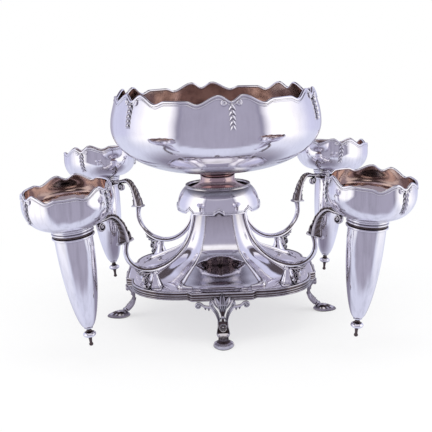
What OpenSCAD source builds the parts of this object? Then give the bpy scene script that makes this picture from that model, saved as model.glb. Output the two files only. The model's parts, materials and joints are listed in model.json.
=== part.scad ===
// Table centrepiece of silver-plated metal
// A plateau on four cast feet carries a flared pedestal with a lift-out bowl,
// and four scroll arms with lift-out flower vases. The front is towards -Y.

/* [Plateau] */
// Height of the plateau's border above the table
foot_h = 46; // [40:1:60]
// Height of the reeded border round the plateau
border_h = 9; // [7:0.5:14]
// How far the border stands out from the plateau's edge
border_t = 2.4; // [1.6:0.1:4]
// Thickness of the plateau's plate
plate_t = 2; // [1.5:0.1:3]
// Half width of the plateau across its sides
plateau_half = 104.5; // [98:0.5:115]
// Radius of the plateau's rounded corners
corner_r = 66; // [55:1:75]
// Width of the section that stands forward in the middle of each side
break_w = 70; // [60:1:80]
// How far that section stands forward
break_out = 2.5; // [1:0.1:5]

/* [Feet] */
// Thickness of a foot's casting
foot_t = 5; // [3.5:0.1:6.5]
// Width of the palmette at the top of a foot
palmette_w = 26; // [22:0.5:32]
// Width across a foot's two side wings
wing_w = 52; // [46:1:60]
// How far the palmette stands above the plateau
palmette_rise = 2; // [1:0.5:4]
// Thickness of a side wing, seen from the front
wing_t = 4; // [3:0.2:5]
// Width of a foot's leg
leg_w = 13; // [10:0.5:16]
// Width of the leg's waist above its pad
waist_w = 8; // [6:0.2:10]
// How far the leg's knee sets back under the plateau
knee_in = 8.5; // [4:0.5:12]
// Width of a foot's pad
pad_w = 20.4; // [17:0.2:26]
// Height of a pad's crown
pad_h = 6; // [5:0.5:8]
// Length of a pad's pointed tip beyond its round heel's centre
pad_tip = 14; // [12:0.5:18]
// How far the heel's centre stands out from the border
pad_out = 12.8; // [10:0.2:18]

/* [Pedestal] */
// Height of the pedestal
ped_h = 75; // [65:1:90]
// Half width of the pedestal across its panels at the top
ped_top = 25; // [22:0.5:30]
// Half width of the pedestal across its panels at the base
ped_base = 80; // [70:1:88]
// Wall of the pedestal
ped_wall = 1.6; // [1:0.1:3]
// Depth of the corner flutes, as a share of the pedestal's width
flute_share = 0.1; // [0.05:0.01:0.15]

/* [Collar] */
// Height of the collar from its lower edge to its mouth
dome_h = 26.5; // [22:0.5:36]
// Radius of the collar at its lower edge
dome_r = 47; // [44:0.5:52]
// Radius of the collar's mouth
mouth_r = 36.2; // [33:0.2:40]
// How far the collar bellies out above its lower edge
dome_belly = 1.6; // [0:0.1:4]
// Wall of the collar
dome_wall = 1.6; // [1:0.1:2.4]
// How far the collar's lower edge hangs below the pedestal's top
dome_drop = 2.6; // [1:0.1:5]
// Height of the bead ring on the collar's mouth
bead_h = 2.2; // [1.6:0.1:4]
// How far the bead ring overhangs the collar's wall on each side
bead_over = 0.9; // [0.4:0.1:1.6]
// Width of an ogee motif at the collar's lower edge
motif_w = 7.5; // [5:0.5:10]
// Height of an ogee motif
motif_h = 5; // [3:0.5:7]

/* [Socket and tie rod] */
// Depth of the socket that takes the bowl's neck
socket_depth = 13; // [9:0.5:18]
// Wall of the socket
socket_wall = 2; // [1.5:0.1:4]
// Floor of the socket and web of the collar
floor_t = 2; // [1.5:0.1:3]
// Radius of the tie rod
rod_r = 3; // [2:0.1:4]
// Radius of the tie rod's head
rod_head_r = 6.5; // [5:0.5:9]
// Height of the tie rod's head
rod_head_h = 3; // [2:0.5:5]
// Thickness of the tie rod's washer
washer_t = 1; // [0.6:0.1:2]
// Height of the nuts
nut_h = 3; // [2:0.5:4]

/* [Posts] */
// Distance of a post from the centre, along the diagonal
post_reach = 103; // [96:0.5:108]
// Height of a post
post_h = 18.5; // [15:0.5:24]
// Radius of a post's base flange
post_base_r = 9.5; // [8:0.5:12]
// Radius of a post at its top
post_top_r = 3.2; // [2.5:0.1:4]
// Radius of the stud under a post
stud_r = 2.2; // [1.5:0.1:3]

/* [Arms] */
// Thickness of an arm, seen from its side
arm_t = 5; // [3.5:0.1:7]
// Width of an arm, seen from above
arm_w = 6; // [4:0.1:8]
// Distance of an arm's inner end from the centre
arm_in = 42.5; // [40:0.5:46]
// Distance of an arm's upper end from the centre
arm_out = 141; // [135:0.5:146]
// How far an arm bellies out beyond its upper end
arm_belly = 9; // [5:0.5:13]
// Height of an arm's upper end above the plateau
arm_rise = 58; // [50:0.5:66]
// Thickness of the leaf at its base, seen from its side
leaf_t = 17; // [12:0.5:22]
// Width of the leaf at its base, seen from above
leaf_w = 9; // [7:0.5:13]
// Thickness of the leaf at its curled tip
leaf_tip_t = 3.6; // [2.5:0.1:5]
// Height of the leaf's arch above its base
leaf_rise = 27; // [22:0.5:34]
// Radius of the curl at the leaf's tip
curl_r = 4.2; // [3.4:0.1:6]

/* [Vases] */
// Distance of a vase from the centre at its ring, along the diagonal
vase_reach = 210.5; // [202:0.5:222]
// Height of a vase's ring above the plateau
ring_rise = 81; // [76:0.5:88]
// Outward lean of a vase
vase_tilt = 7; // [0:0.5:12]
// Turn of a vase about its own axis
vase_turn = -8; // [-60:1:60]
// Height of the ring that holds a vase
ring_h = 10; // [7:0.5:14]
// Wall of that ring
ring_wall = 2.2; // [1.6:0.1:4]
// Radius of a vase's tube at its ring
tube_r = 19.6; // [17:0.2:22]
// Length of a vase's tube below its ring
tube_l = 99; // [84:1:114]
// Radius of a tube where its finial joins it
tube_end_r = 4; // [3:0.2:6]
// Thickness of the flange that sits on the ring
flange_t = 2.5; // [1.5:0.1:4]
// How far the flange stands out over the ring
flange_over = 0.4; // [0.2:0.1:1.5]
// Radius of a vase's bowl where it is widest
cup_r = 46.3; // [40:0.5:52]
// Radius of a vase's rim
cup_rim_r = 45; // [38:0.5:50]
// Height of a vase's widest place above its flange
cup_bulge_h = 27; // [22:0.5:32]
// Height of a vase's rim above its flange
cup_h = 39.5; // [34:0.5:50]
// Wall of a vase
vase_wall = 1.2; // [0.8:0.1:2]
// Radius of a finial's knob
knob_r = 6.8; // [5:0.2:9]
// Length of a finial
finial_l = 21.5; // [16:0.5:28]

/* [Bowl] */
// Radius of the bowl where it is widest
bowl_r = 120; // [105:1:128]
// Radius of the bowl's rim
bowl_rim_r = 113.5; // [100:0.5:122]
// Radius of the flat underneath the bowl
bowl_flat_r = 26; // [24.5:0.5:34]
// Height of the bowl's widest place above its underside
bowl_bulge_h = 53.5; // [44:0.5:64]
// Height of the bowl's rim above its underside
bowl_h = 86.5; // [76:0.5:100]
// Wall of the bowl
bowl_wall = 1.4; // [1:0.1:2.5]
// Radius of the bowl's neck
neck_r = 23.3; // [21:0.1:24]
// Wall of the bowl's neck
neck_wall = 2; // [1.2:0.1:3]
// How far the neck's ring mouldings stand out
neck_ring = 1.2; // [0.8:0.1:2]
// Length of the bowl's neck
neck_l = 38; // [30:0.5:50]
// Turn of the bowl about its own axis
bowl_turn = 8; // [-60:1:60]

/* [Ornament] */
// Height of the crests of the bowl's wavy rim
crest_h = 5.5; // [3:0.5:8]
// Depth of the valleys of the bowl's wavy rim
valley_h = 3.5; // [2:0.5:5]
// Depth of the notch over each of the bowl's pendants
notch_h = 1; // [0:0.5:3]
// Height of a vase's wavy rim, as a share of the bowl's
cup_wave_share = 0.72; // [0.5:0.02:1]
// Radius of the wire on the bowl's rim
bowl_wire_r = 1.5; // [1:0.1:2.2]
// Radius of the wire on a vase's rim
cup_wire_r = 1.2; // [0.8:0.1:1.8]
// Number of husks in a pendant
husk_n = 5; // [3:1:7]
// Length of a husk on the bowl
bowl_husk_l = 4.4; // [3:0.2:6]
// Length of a husk on a vase
cup_husk_l = 3.6; // [2.6:0.2:5]
// Radius of the largest husk
husk_r = 2.1; // [1.5:0.1:3]

/* [Clearances] */
// Gap round the bowl's neck in its socket
neck_gap = 0.3; // [0.2:0.05:0.6]
// Gap round a vase's tube in its ring
ring_gap = 0.3; // [0.2:0.05:0.6]
// Gap round rods and studs in their holes
hole_gap = 0.2; // [0.1:0.05:0.4]
// How far soldered pieces sink into each other
solder = 0.4; // [0.2:0.1:0.8]

/* [Hidden] */
$fn = 64;
CORNERS = ["fr", "br", "bl", "fl"];
SIDES = ["right", "back", "left", "front"];
FOURFOLD = [
    "post", "post_leaf", "arm", "arm_leaf", "vase_ring",
    "vase_shell", "vase_border", "vase_pendants", "vase_finial",
];

silver = "#d4d4de";
shaded_silver = "#a9a8b4";
steel = "#8c8c90";

// Heights above the table
plateau_top = foot_h + border_h;
plate_under = plateau_top - plate_t;
ped_top_z = plateau_top + ped_h;
dome_low_z = ped_top_z - dome_drop;
dome_top_z = dome_low_z + dome_h;
web_top_z = ped_top_z + floor_t;
socket_floor_z = web_top_z + floor_t;
bowl_z = socket_floor_z + neck_l;
bowl_rim_z = bowl_z + bowl_h;
post_top_z = plateau_top + post_h;
arm_low_z = post_top_z + arm_t / 2 - solder;
arm_top_z = plateau_top + arm_rise;
ring_z = plateau_top + ring_rise;

// Distances from the centre
side_face = plateau_half + break_out + border_t;
ring_in_r = tube_r + ring_gap;
ring_out_r = ring_in_r + ring_wall;
nut_r = 2 * rod_r;
stud_nut_r = 2 * stud_r;

// A cubic curve through four control points, cut into n steps
function bezier(p, t) =
    pow(1 - t, 3) * p[0] + 3 * pow(1 - t, 2) * t * p[1]
    + 3 * (1 - t) * t * t * p[2] + pow(t, 3) * p[3];
function curve(p, n) = [for (i = [0:n]) bezier(p, i / n)];
function rest(list) = [for (i = [1:len(list) - 1]) list[i]];
function flip(list) = [for (i = [len(list) - 1:-1:0]) list[i]];
function unit(v) = v / norm(v);
function ease(t) = t * t * (3 - 2 * t);
function mix(a, b, t) = a + (b - a) * t;

// Direction and left-hand normal of a flat path at its point i
function heading(path, i) =
    unit(path[min(i + 1, len(path) - 1)] - path[max(i - 1, 0)]);
function left_of(path, i) = let (h = heading(path, i)) [-h[1], h[0]];

// Skin over a row of rings that all have the same number of points
module skin(rings, closed = false) {
    n = len(rings);
    k = len(rings[0]);
    last = closed ? n - 1 : n - 2;
    sides = [
        for (i = [0:last]) for (j = [0:k - 1])
            let (a = i * k + j, b = i * k + (j + 1) % k,
                 c = ((i + 1) % n) * k + (j + 1) % k, d = ((i + 1) % n) * k + j)
            each [[a, c, b], [a, d, c]]
    ];
    caps = closed ? [] :
        [[for (j = [0:k - 1]) j], [for (j = [k - 1:-1:0]) (n - 1) * k + j]];
    polyhedron([for (r = rings) each r], concat(sides, caps));
}

// Bar along a path in the XZ plane, with its thickness and width at each point
bar_sides = 8;
function bar_ring(path, i, thick, wide) =
    let (p = path[i], nrm = left_of(path, i))
    [for (j = [0:bar_sides - 1])
        let (a = -360 * (j + 0.5) / bar_sides, s = thick / 2 * cos(a))
        [p[0] + nrm[0] * s, wide / 2 * sin(a), p[1] + nrm[1] * s]];
module bar(path, thick, wide) {
    skin([for (i = [0:len(path) - 1]) bar_ring(path, i, thick[i], wide[i])]);
}

// Height of a wavy rim at a share u of one repeat, with a pendant at u = 0
wave_at = [0, 0.11, 0.305, 0.4, 0.5];
function wave_level(i) = [-notch_h, crest_h, -valley_h, 0, 0][i];
function wave(u) =
    let (v = u - floor(u), w = min(v, 1 - v),
         i = max([for (q = [0:len(wave_at) - 2]) w >= wave_at[q] ? q : 0]),
         t = (w - wave_at[i]) / (wave_at[i + 1] - wave_at[i]))
    mix(wave_level(i), wave_level(i + 1), ease(t));

// Radius at height z of a wall that is widest at one height, bends inwards and runs straight past its rim
// side = [widest radius, rim radius, widest height, rim height]
bend_share = 0.6;
function narrowing(t) =
    (t < bend_share ? pow(max(0, t), 2) : bend_share * (2 * t - bend_share))
    / (bend_share * (2 - bend_share));
function wall_r(side, z) = mix(side[0], side[1], narrowing((z - side[2]) / (side[3] - side[2])));
// Points up such a wall from its widest height to top_z, moved inwards by w
function wall_line(side, top_z, w) = [
    for (z = [for (i = [1:3]) mix(side[2], side[3], bend_share * i / 3), top_z])
        [wall_r(side, z) - w, z]];

// What lies above a wavy rim: for each repeat a gap over the pendant and a wide one between two crests
// The wall below stops at a share of the crests, so no two gaps meet
crest_share = 0.9;
wave_steps = 16;
module rim_gap(side, lobes, share, middle, span) {
    r = side[1];
    over = 6;
    high = side[3] + 2 * crest_h;
    half = 360 * span / lobes;
    line = [for (i = [0:wave_steps])
        let (v = mix(-span, span, i / wave_steps))
        [r * sin(360 * v / lobes), side[3] + share * wave(middle + v)]];
    rotate(360 * middle / lobes)
        translate([r * cos(half) - over, 0, 0])
            rotate([90, 0, 90])
                linear_extrude(r * (1 - cos(half)) + 2 * over)
                    polygon(concat([[-r * sin(half), high]], line, [[r * sin(half), high]]));
}
module above_rim(side, lobes, share) {
    crest_at = wave_at[1];
    for (l = [0:lobes - 1]) {
        rim_gap(side, lobes, share, l, crest_at);
        rim_gap(side, lobes, share, l + 0.5, 0.5 - crest_at);
    }
}

// Round wire on a wavy rim
wire_sides = 6;
module rim_wire(side, wall, lobes, share, wire_r, steps) {
    skin([for (i = [0:steps - 1])
        let (a = 360 * i / steps, z = side[3] + share * wave(a * lobes / 360),
             r = wall_r(side, z) - wall / 2)
        [for (j = [0:wire_sides - 1])
            let (b = -360 * j / wire_sides, d = r + wire_r * cos(b))
            [d * cos(a), d * sin(a), z + wire_r * sin(b)]]], closed = true);
}

// Husk chain that hangs down the outside of a wall
module husk_chain(side, from_z, length) {
    wall = [for (i = [0:husk_n]) let (z = from_z - length * i) [wall_r(side, z), z]];
    for (i = [0:husk_n - 1]) {
        dir = unit(wall[i + 1] - wall[i]);
        size = husk_r * mix(1, 0.55, i / husk_n);
        translate([wall[i][0], 0, wall[i][1]])
            rotate([0, atan2(dir[0], dir[1]), 0])
                cylinder(h = length * 1.15, r1 = size * 0.45, r2 = size);
    }
}

// Outline of the plateau, grown outwards by g
corner_steps = 10;
module plateau_outline(g = 0) {
    c = plateau_half - corner_r;
    polygon([for (q = [0:3]) for (i = [0:corner_steps])
        let (a = 90 * q + 90 * i / corner_steps, m = 90 * q + 45)
        [c * sign(cos(m)) + (corner_r + g) * cos(a), c * sign(sin(m)) + (corner_r + g) * sin(a)]]);
    for (turn = [0, 90])
        rotate(turn)
            square([2 * (plateau_half + break_out + g), break_w + 2 * g], center = true);
}

module on_diagonal(k) {
    rotate(90 * k - 45) children();
}

module plateau() {
    color(silver) difference() {
        translate([0, 0, plate_under])
            linear_extrude(plate_t)
                plateau_outline();
        translate([0, 0, plate_under - 1])
            cylinder(h = plate_t + 2, r = rod_r + hole_gap);
        for (k = [0:3])
            on_diagonal(k)
                translate([post_reach, 0, plate_under - 1])
                    cylinder(h = plate_t + 2, r = stud_r + hole_gap);
    }
}

// Three reeds stand out from a plain band
reed_share = 0.5;
module plateau_border() {
    reed = border_h / 5;
    color(shaded_silver) difference() {
        translate([0, 0, foot_h]) {
            linear_extrude(border_h) plateau_outline(border_t * reed_share);
            for (i = [0:2])
                translate([0, 0, 2 * i * reed])
                    linear_extrude(reed) plateau_outline(border_t);
        }
        translate([0, 0, foot_h - 1])
            linear_extrude(border_h + 2) plateau_outline();
    }
}

// One foot, outwards along +X: a pierced front outline cut through a curved strap
pad_x = side_face + pad_out;
strap_x = side_face + foot_t / 2;
palmette_top = plateau_top + palmette_rise;
knee_z = 0.52 * foot_h;
strap_steps = 10;
strap_line = concat(
    [[strap_x, palmette_top]],
    curve([[strap_x, foot_h], [strap_x, mix(knee_z, foot_h, 0.55)],
           [strap_x - knee_in, mix(knee_z, foot_h, 0.5)], [strap_x - knee_in, knee_z]], strap_steps),
    rest(curve([[strap_x - knee_in, knee_z], [strap_x - knee_in, knee_z / 2],
                [strap_x - knee_in / 2, pad_h], [pad_x - pad_w / 4, pad_h * 0.75]], strap_steps))
);
module foot_strap() {
    n = len(strap_line) - 1;
    polygon(concat(
        [for (i = [0:n]) strap_line[i] + left_of(strap_line, i) * foot_t / 2],
        [for (i = [n:-1:0]) strap_line[i] - left_of(strap_line, i) * foot_t / 2]));
}
// Half of the foot's front outline, as distance from its middle and height
wing_z = foot_h - wing_t / 2;
function foot_half() = concat(
    curve([[0, palmette_top], [palmette_w * 0.32, palmette_top],
           [palmette_w / 2, foot_h + border_h * 0.6], [palmette_w / 2, foot_h + wing_t / 2]], 6),
    [[wing_w / 2 - wing_t, foot_h + wing_t / 2]],
    curve([[wing_w / 2, foot_h], [wing_w / 2 + wing_t / 4, wing_z - wing_t / 2],
           [wing_w / 2 - wing_t, wing_z - wing_t * 0.75],
           [wing_w / 2 - wing_t * 1.75, wing_z - wing_t / 4]], 4),
    curve([[palmette_w / 2 + wing_t / 2, wing_z - wing_t],
           [palmette_w / 2 - wing_t / 2, wing_z - wing_t * 2.25],
           [leg_w / 2, knee_z + 2 * wing_t], [leg_w / 2, knee_z]], 6),
    curve([[leg_w / 2, knee_z * 0.6], [waist_w / 2, knee_z * 0.5],
           [waist_w / 2, pad_h * 1.4], [waist_w * 0.6, 0]], 4)
);
// A slot between the palmette and a wing, on the side s
module foot_slot(s) {
    polygon([[s * wing_t, wing_z - 2 * wing_t], [s * palmette_w * 0.3, wing_z - wing_t / 4],
             [s * palmette_w * 0.4, wing_z + wing_t / 2], [s * palmette_w * 0.22, wing_z + wing_t / 4],
             [s * wing_t * 0.75, wing_z - wing_t * 1.25]]);
}
module foot_front_outline() {
    half = foot_half();
    difference() {
        polygon(concat(half, [for (p = flip(half)) [-p[0], p[1]]]));
        for (s = [-1, 1])
            foot_slot(s);
    }
}
// Pad: a round heel that runs out to a pointed tip, with a low crown
module foot_pad() {
    round_r = pad_w / 2;
    touch = acos(round_r / pad_tip);
    crown_r = pad_w * 1.2;
    translate([pad_x, 0, 0]) intersection() {
        linear_extrude(pad_h)
            polygon(concat([[pad_tip, 0]],
                [for (i = [0:20])
                    let (a = mix(touch, 360 - touch, i / 20))
                    round_r * [cos(a), sin(a)]]));
        translate([0, 0, pad_h - crown_r])
            sphere(crown_r);
    }
}
module foot(k) {
    deep = side_face + pad_out + pad_tip;
    color(shaded_silver) rotate(90 * k) {
        intersection() {
            translate([0, wing_w, 0])
                rotate([90, 0, 0])
                    linear_extrude(2 * wing_w) foot_strap();
            rotate([90, 0, 90])
                linear_extrude(deep) foot_front_outline();
        }
        foot_pad();
    }
}

// Pedestal: four flat panels with a flute between each pair, flared as a trumpet
panel_half = 30;
panel_cuts = 6;
flute_cuts = 4;
ped_levels = 12;
function ped_section(s, z) = [
    for (q = [0:3]) each concat(
        [for (i = [0:panel_cuts])
            let (a = mix(-panel_half, panel_half, i / panel_cuts), d = s / cos(a))
            [d * cos(a + 90 * q), d * sin(a + 90 * q), z]],
        [for (i = [1:flute_cuts - 1])
            let (t = i / flute_cuts, a = mix(panel_half, 90 - panel_half, t),
                 d = s / cos(panel_half) * (1 - flute_share * sin(180 * t)))
            [d * cos(a + 90 * q), d * sin(a + 90 * q), z]])
];
ped_curve = curve([
    [ped_base, plateau_top + 1],
    [mix(ped_top, ped_base, 0.236), plateau_top + ped_h * 0.2],
    [mix(ped_top, ped_base, 0.036), ped_top_z - ped_h * 0.467],
    [ped_top, ped_top_z]], ped_levels);
module pedestal() {
    outer = concat([ped_section(ped_base, plateau_top)], [for (p = ped_curve) ped_section(p[0], p[1])]);
    inner = concat(
        [for (i = [ped_levels:-1:1]) ped_section(ped_curve[i][0] - ped_wall,
            ped_curve[i][1] - ped_wall * (1 - i / ped_levels))],
        [ped_section(ped_base - 3 * ped_wall, plateau_top)]);
    color(silver) skin(concat(outer, inner), closed = true);
}

// Collar: a bulbous shell with a web that lies on the pedestal
dome_steps = 8;
function dome_line(inset) = curve([
    [dome_r - inset, dome_low_z], [dome_r + dome_belly - inset, dome_low_z + dome_h * 0.4],
    [mix(mouth_r, dome_r, 0.65) - inset, dome_top_z - dome_h * 0.15],
    [mouth_r - inset, dome_top_z]], dome_steps);
motif_n = 8;
module motif() {
    half = curve([[motif_w / 2, motif_h * 0.1], [motif_w / 2, motif_h * 0.6],
                  [motif_w / 6, motif_h * 0.5], [0, motif_h]], 4);
    other = rest(flip([for (p = half) [-p[0], p[1]]]));
    polygon(concat([[-motif_w / 2, -1], [motif_w / 2, -1]], half, other));
}
module dome_collar() {
    web_r = dome_r - dome_wall / 2;
    color(silver) difference() {
        union() {
            rotate_extrude()
                polygon(concat(dome_line(0), flip(dome_line(dome_wall))));
            translate([0, 0, ped_top_z])
                cylinder(h = floor_t, r = web_r);
        }
        translate([0, 0, ped_top_z - 1])
            cylinder(h = floor_t + 2, r = rod_r + hole_gap);
        for (m = [0:motif_n - 1])
            rotate(360 * m / motif_n)
                translate([dome_r - dome_wall * 2, 0, dome_low_z])
                    rotate([90, 0, 90])
                        linear_extrude(dome_wall * 4) motif();
    }
}

// Ring on the collar's mouth: flat underneath and round on top
module dome_bead_ring() {
    mid = mouth_r - dome_wall / 2;
    half = dome_wall / 2 + bead_over;
    color(shaded_silver) rotate_extrude()
        polygon([for (i = [0:12])
            let (a = 15 * i)
            [mid + half * cos(a), dome_top_z + bead_h * sin(a)]]);
}

module bowl_socket() {
    in_r = neck_r + neck_gap;
    color(steel) difference() {
        translate([0, 0, web_top_z])
            cylinder(h = floor_t + socket_depth, r = in_r + socket_wall);
        translate([0, 0, socket_floor_z])
            cylinder(h = socket_depth + 1, r = in_r);
        translate([0, 0, web_top_z - 1])
            cylinder(h = floor_t + 2, r = rod_r + hole_gap);
    }
}

// Tie rod from the socket's floor down through the plateau
nut_top_z = plate_under - washer_t;
rod_low_z = nut_top_z - nut_h - 1;
module centre_rod() {
    color(steel) {
        translate([0, 0, rod_low_z])
            cylinder(h = socket_floor_z - rod_low_z + 1, r = rod_r);
        translate([0, 0, socket_floor_z])
            cylinder(h = rod_head_h, r = rod_head_r);
    }
}
module rod_washer() {
    color(steel) translate([0, 0, nut_top_z]) difference() {
        cylinder(h = washer_t, r = nut_r * 1.6);
        translate([0, 0, -1])
            cylinder(h = washer_t + 2, r = rod_r + hole_gap);
    }
}
module hex_nut(across_r, bore_r) {
    difference() {
        cylinder(h = nut_h, r = across_r, $fn = 6);
        translate([0, 0, -1])
            cylinder(h = nut_h + 2, r = bore_r);
    }
}
module rod_nut() {
    color(steel) translate([0, 0, nut_top_z - nut_h])
        hex_nut(nut_r, rod_r + hole_gap);
}
module post_nuts() {
    color(steel) for (k = [0:3])
        on_diagonal(k)
            translate([post_reach, 0, plate_under - nut_h])
                hex_nut(stud_nut_r, stud_r + hole_gap);
}

// Bell-shaped post with a flange at its base and a stud through the plateau
post_flange_t = 1.8;
module post(k) {
    bell = curve([
        [post_base_r - post_flange_t, plateau_top + post_flange_t],
        [post_top_r * 1.8, plateau_top + 2 * post_flange_t],
        [post_top_r * 1.2, mix(plateau_top, post_top_z, 0.5)], [post_top_r, post_top_z]], 7);
    color(silver) on_diagonal(k) translate([post_reach, 0, 0]) {
        rotate_extrude()
            polygon(concat([[0, plateau_top], [post_base_r, plateau_top],
                            [post_base_r, plateau_top + post_flange_t]], bell, [[0, post_top_z]]));
        translate([0, 0, plate_under - nut_h - 1])
            cylinder(h = plate_t + nut_h + 2, r = stud_r);
    }
}

// Arm: down from the collar's web, over the post and up to the leaf
arm_steps = 10;
arm_start_z = ped_top_z + solder;
arm_path = concat(
    curve([[arm_in, arm_start_z], [arm_in, mix(arm_low_z, arm_start_z, 0.42)],
           [mix(arm_in, post_reach, 0.48), arm_low_z], [post_reach, arm_low_z]], arm_steps),
    rest(curve([[post_reach, arm_low_z], [mix(post_reach, arm_out, 0.66), arm_low_z],
                [arm_out + arm_belly, mix(arm_low_z, arm_top_z, 0.45)], [arm_out, arm_top_z]], arm_steps)));
// The inner end swells into a small knob, as a share of the arm's own size
knob_swell = 0.35;
knob_neck = 0.7;
function arm_swell(i) = i == 0 ? knob_neck : 1 + knob_swell * exp(-pow(i - 1, 2));
module arm(k) {
    n = len(arm_path) - 1;
    color(silver) on_diagonal(k)
        bar(arm_path, [for (i = [0:n]) arm_t * arm_swell(i)], [for (i = [0:n]) arm_w * arm_swell(i)]);
}

// Small leaf scroll that fills the corner between a post and its arm
leaf_foot_t = 4;
leaf_foot_w = 9;
leaf_end_t = 2.6;
module post_leaf(k) {
    low_z = plateau_top + leaf_foot_t / 2 * cos(180 / bar_sides);
    flange = post_reach + post_base_r;
    path = concat(
        curve([[flange + 1, low_z], [flange + 3 * leaf_foot_t, low_z],
               [flange + 3 * leaf_foot_t, mix(low_z, arm_low_z, 0.55)],
               [flange + leaf_foot_t / 2, mix(low_z, arm_low_z, 0.62)]], 8),
        [[flange - leaf_foot_t / 8, arm_low_z - arm_t / 2 + 3 * solder]]);
    n = len(path) - 1;
    color(shaded_silver) on_diagonal(k)
        bar(path, [for (i = [0:n]) mix(leaf_foot_t, leaf_end_t, i / n)],
            [for (i = [0:n]) mix(leaf_foot_w, arm_w, i / n)]);
}

// Leaf scroll: broad at its base on the arm, arched, and curled against the ring
ring_side = vase_reach - ring_out_r;
curl_c = [ring_side - curl_r - leaf_tip_t / 2 + solder, ring_z - 1];
arch = [mix(arm_out, ring_side, 0.55), arm_top_z + leaf_rise];
curl_turn = 230;
leaf_path = concat(
    curve([[arm_out + arm_t * 0.3, arm_top_z], [arm_out + arm_t * 0.8, arm_top_z + leaf_rise * 0.7],
           arch + leaf_rise * [-0.4, 0.11], arch], 8),
    rest(curve([arch, arch + leaf_rise * [0.33, -0.1], curl_c + curl_r * [1, 1.7], curl_c + [curl_r, 0]], 6)),
    [for (i = [1:8]) let (a = -curl_turn * i / 8)
        curl_c + mix(curl_r, curl_r * 0.62, i / 8) * [cos(a), sin(a)]]);
module arm_leaf(k) {
    n = len(leaf_path) - 1;
    function taper(i) = pow(max(0, 1 - i / (n * 0.5)), 1.5);
    function thin(i) = mix(1, 0.55, max(0, i / n * 2 - 1));
    color(shaded_silver) on_diagonal(k)
        bar(leaf_path, [for (i = [0:n]) mix(leaf_tip_t, leaf_t, taper(i)) * thin(i)],
            [for (i = [0:n]) mix(arm_w, leaf_w, taper(i))]);
}

// The frame of a vase: its ring's centre, leaning outwards
module at_vase(k) {
    on_diagonal(k)
        translate([vase_reach, 0, ring_z])
            rotate([0, vase_tilt, 0]) children();
}
module vase_ring(k) {
    lip = ring_h * 0.08;
    color(shaded_silver) at_vase(k) rotate_extrude()
        polygon([[ring_in_r, -ring_h / 2], [ring_out_r - lip, -ring_h / 2], [ring_out_r, -ring_h / 2 + lip],
                 [ring_out_r, -ring_h / 2 + 3 * lip], [ring_out_r - lip, -ring_h / 2 + 4 * lip],
                 [ring_out_r - lip, ring_h / 2 - 2 * lip], [ring_out_r, ring_h / 2 - lip],
                 [ring_out_r, ring_h / 2], [ring_in_r, ring_h / 2]]);
}

// Profile of a vase from its foot up to above its rim, shrunk inwards by the wall
cup_lobes = 3;
cup_z = ring_h / 2 + flange_t;
flange_r = ring_out_r + flange_over;
cup_neck_r = flange_r + flange_t / 4;
tube_low_z = -ring_h / 2 - tube_l;
cup_rim_z = ring_h / 2 + cup_h;
cup_top_z = cup_rim_z + crest_share * crest_h * cup_wave_share;
cup_side = [cup_r, cup_rim_r, ring_h / 2 + cup_bulge_h, cup_rim_z];
tube_steps = 10;
cup_steps = 8;
function tube_line(w) = [for (i = [0:tube_steps])
    let (t = pow(i / tube_steps, 1.7), r = mix(tube_end_r, tube_r, pow(sin(90 * t), 0.55)))
    [max(r - w, 0.5), mix(tube_low_z + w, -ring_h / 2, t)]];
function cup_line(w) = concat(
    [for (i = [0:cup_steps])
        let (a = 90 * i / cup_steps)
        [cup_neck_r + (cup_r - cup_neck_r - w) * sin(a),
         cup_z + w + (cup_bulge_h - flange_t - w) * (1 - cos(a))]],
    wall_line(cup_side, cup_top_z, w));
module vase_shell(k) {
    throat = tube_r - vase_wall;
    color(silver) at_vase(k) difference() {
        rotate_extrude()
            polygon(concat(
                [[0, tube_low_z]], tube_line(0),
                [[tube_r, ring_h / 2], [flange_r, ring_h / 2], [flange_r, cup_z]],
                cup_line(0), flip(cup_line(vase_wall)),
                [[throat, cup_z + vase_wall], [throat, -ring_h / 2]],
                rest(flip(tube_line(vase_wall))),
                [[0, tube_low_z + vase_wall]]));
        rotate(vase_turn)
            above_rim(cup_side, cup_lobes, cup_wave_share);
    }
}
module vase_border(k) {
    color(shaded_silver) at_vase(k) rotate(vase_turn)
        rim_wire(cup_side, vase_wall, cup_lobes, cup_wave_share, cup_wire_r, 72);
}
module vase_pendants(k) {
    color(shaded_silver) at_vase(k) for (l = [0:cup_lobes - 1])
        rotate(vase_turn + 360 * l / cup_lobes)
            husk_chain(cup_side, cup_rim_z - cup_wave_share * notch_h, cup_husk_l);
}
module vase_finial(k) {
    low = tube_low_z - finial_l;
    neck = tube_end_r * 0.75;
    knob_z = tube_low_z - finial_l * 0.38;
    tip_r = knob_r * 0.3;
    color(shaded_silver) at_vase(k) rotate_extrude()
        polygon(concat(
            [[0, tube_low_z], [tube_end_r, tube_low_z]],
            curve([[tube_end_r, tube_low_z - finial_l * 0.05], [neck * 0.6, tube_low_z - finial_l * 0.14],
                   [neck * 0.8, knob_z + knob_r * 0.6], [neck, knob_z + knob_r * 0.5]], 4),
            [for (i = [0:6])
                let (a = mix(60, -60, i / 6))
                [knob_r * cos(a), knob_z + knob_r * 0.55 * sin(a)]],
            [[tip_r, low + finial_l * 0.28], [tip_r * 0.8, low + 2 * tip_r]],
            [for (i = [0:5])
                let (a = mix(50, -66, i / 5))
                [tip_r * cos(a) * 1.1, low + tip_r * (1 + sin(a))]],
            [[0, low]]));
}

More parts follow.
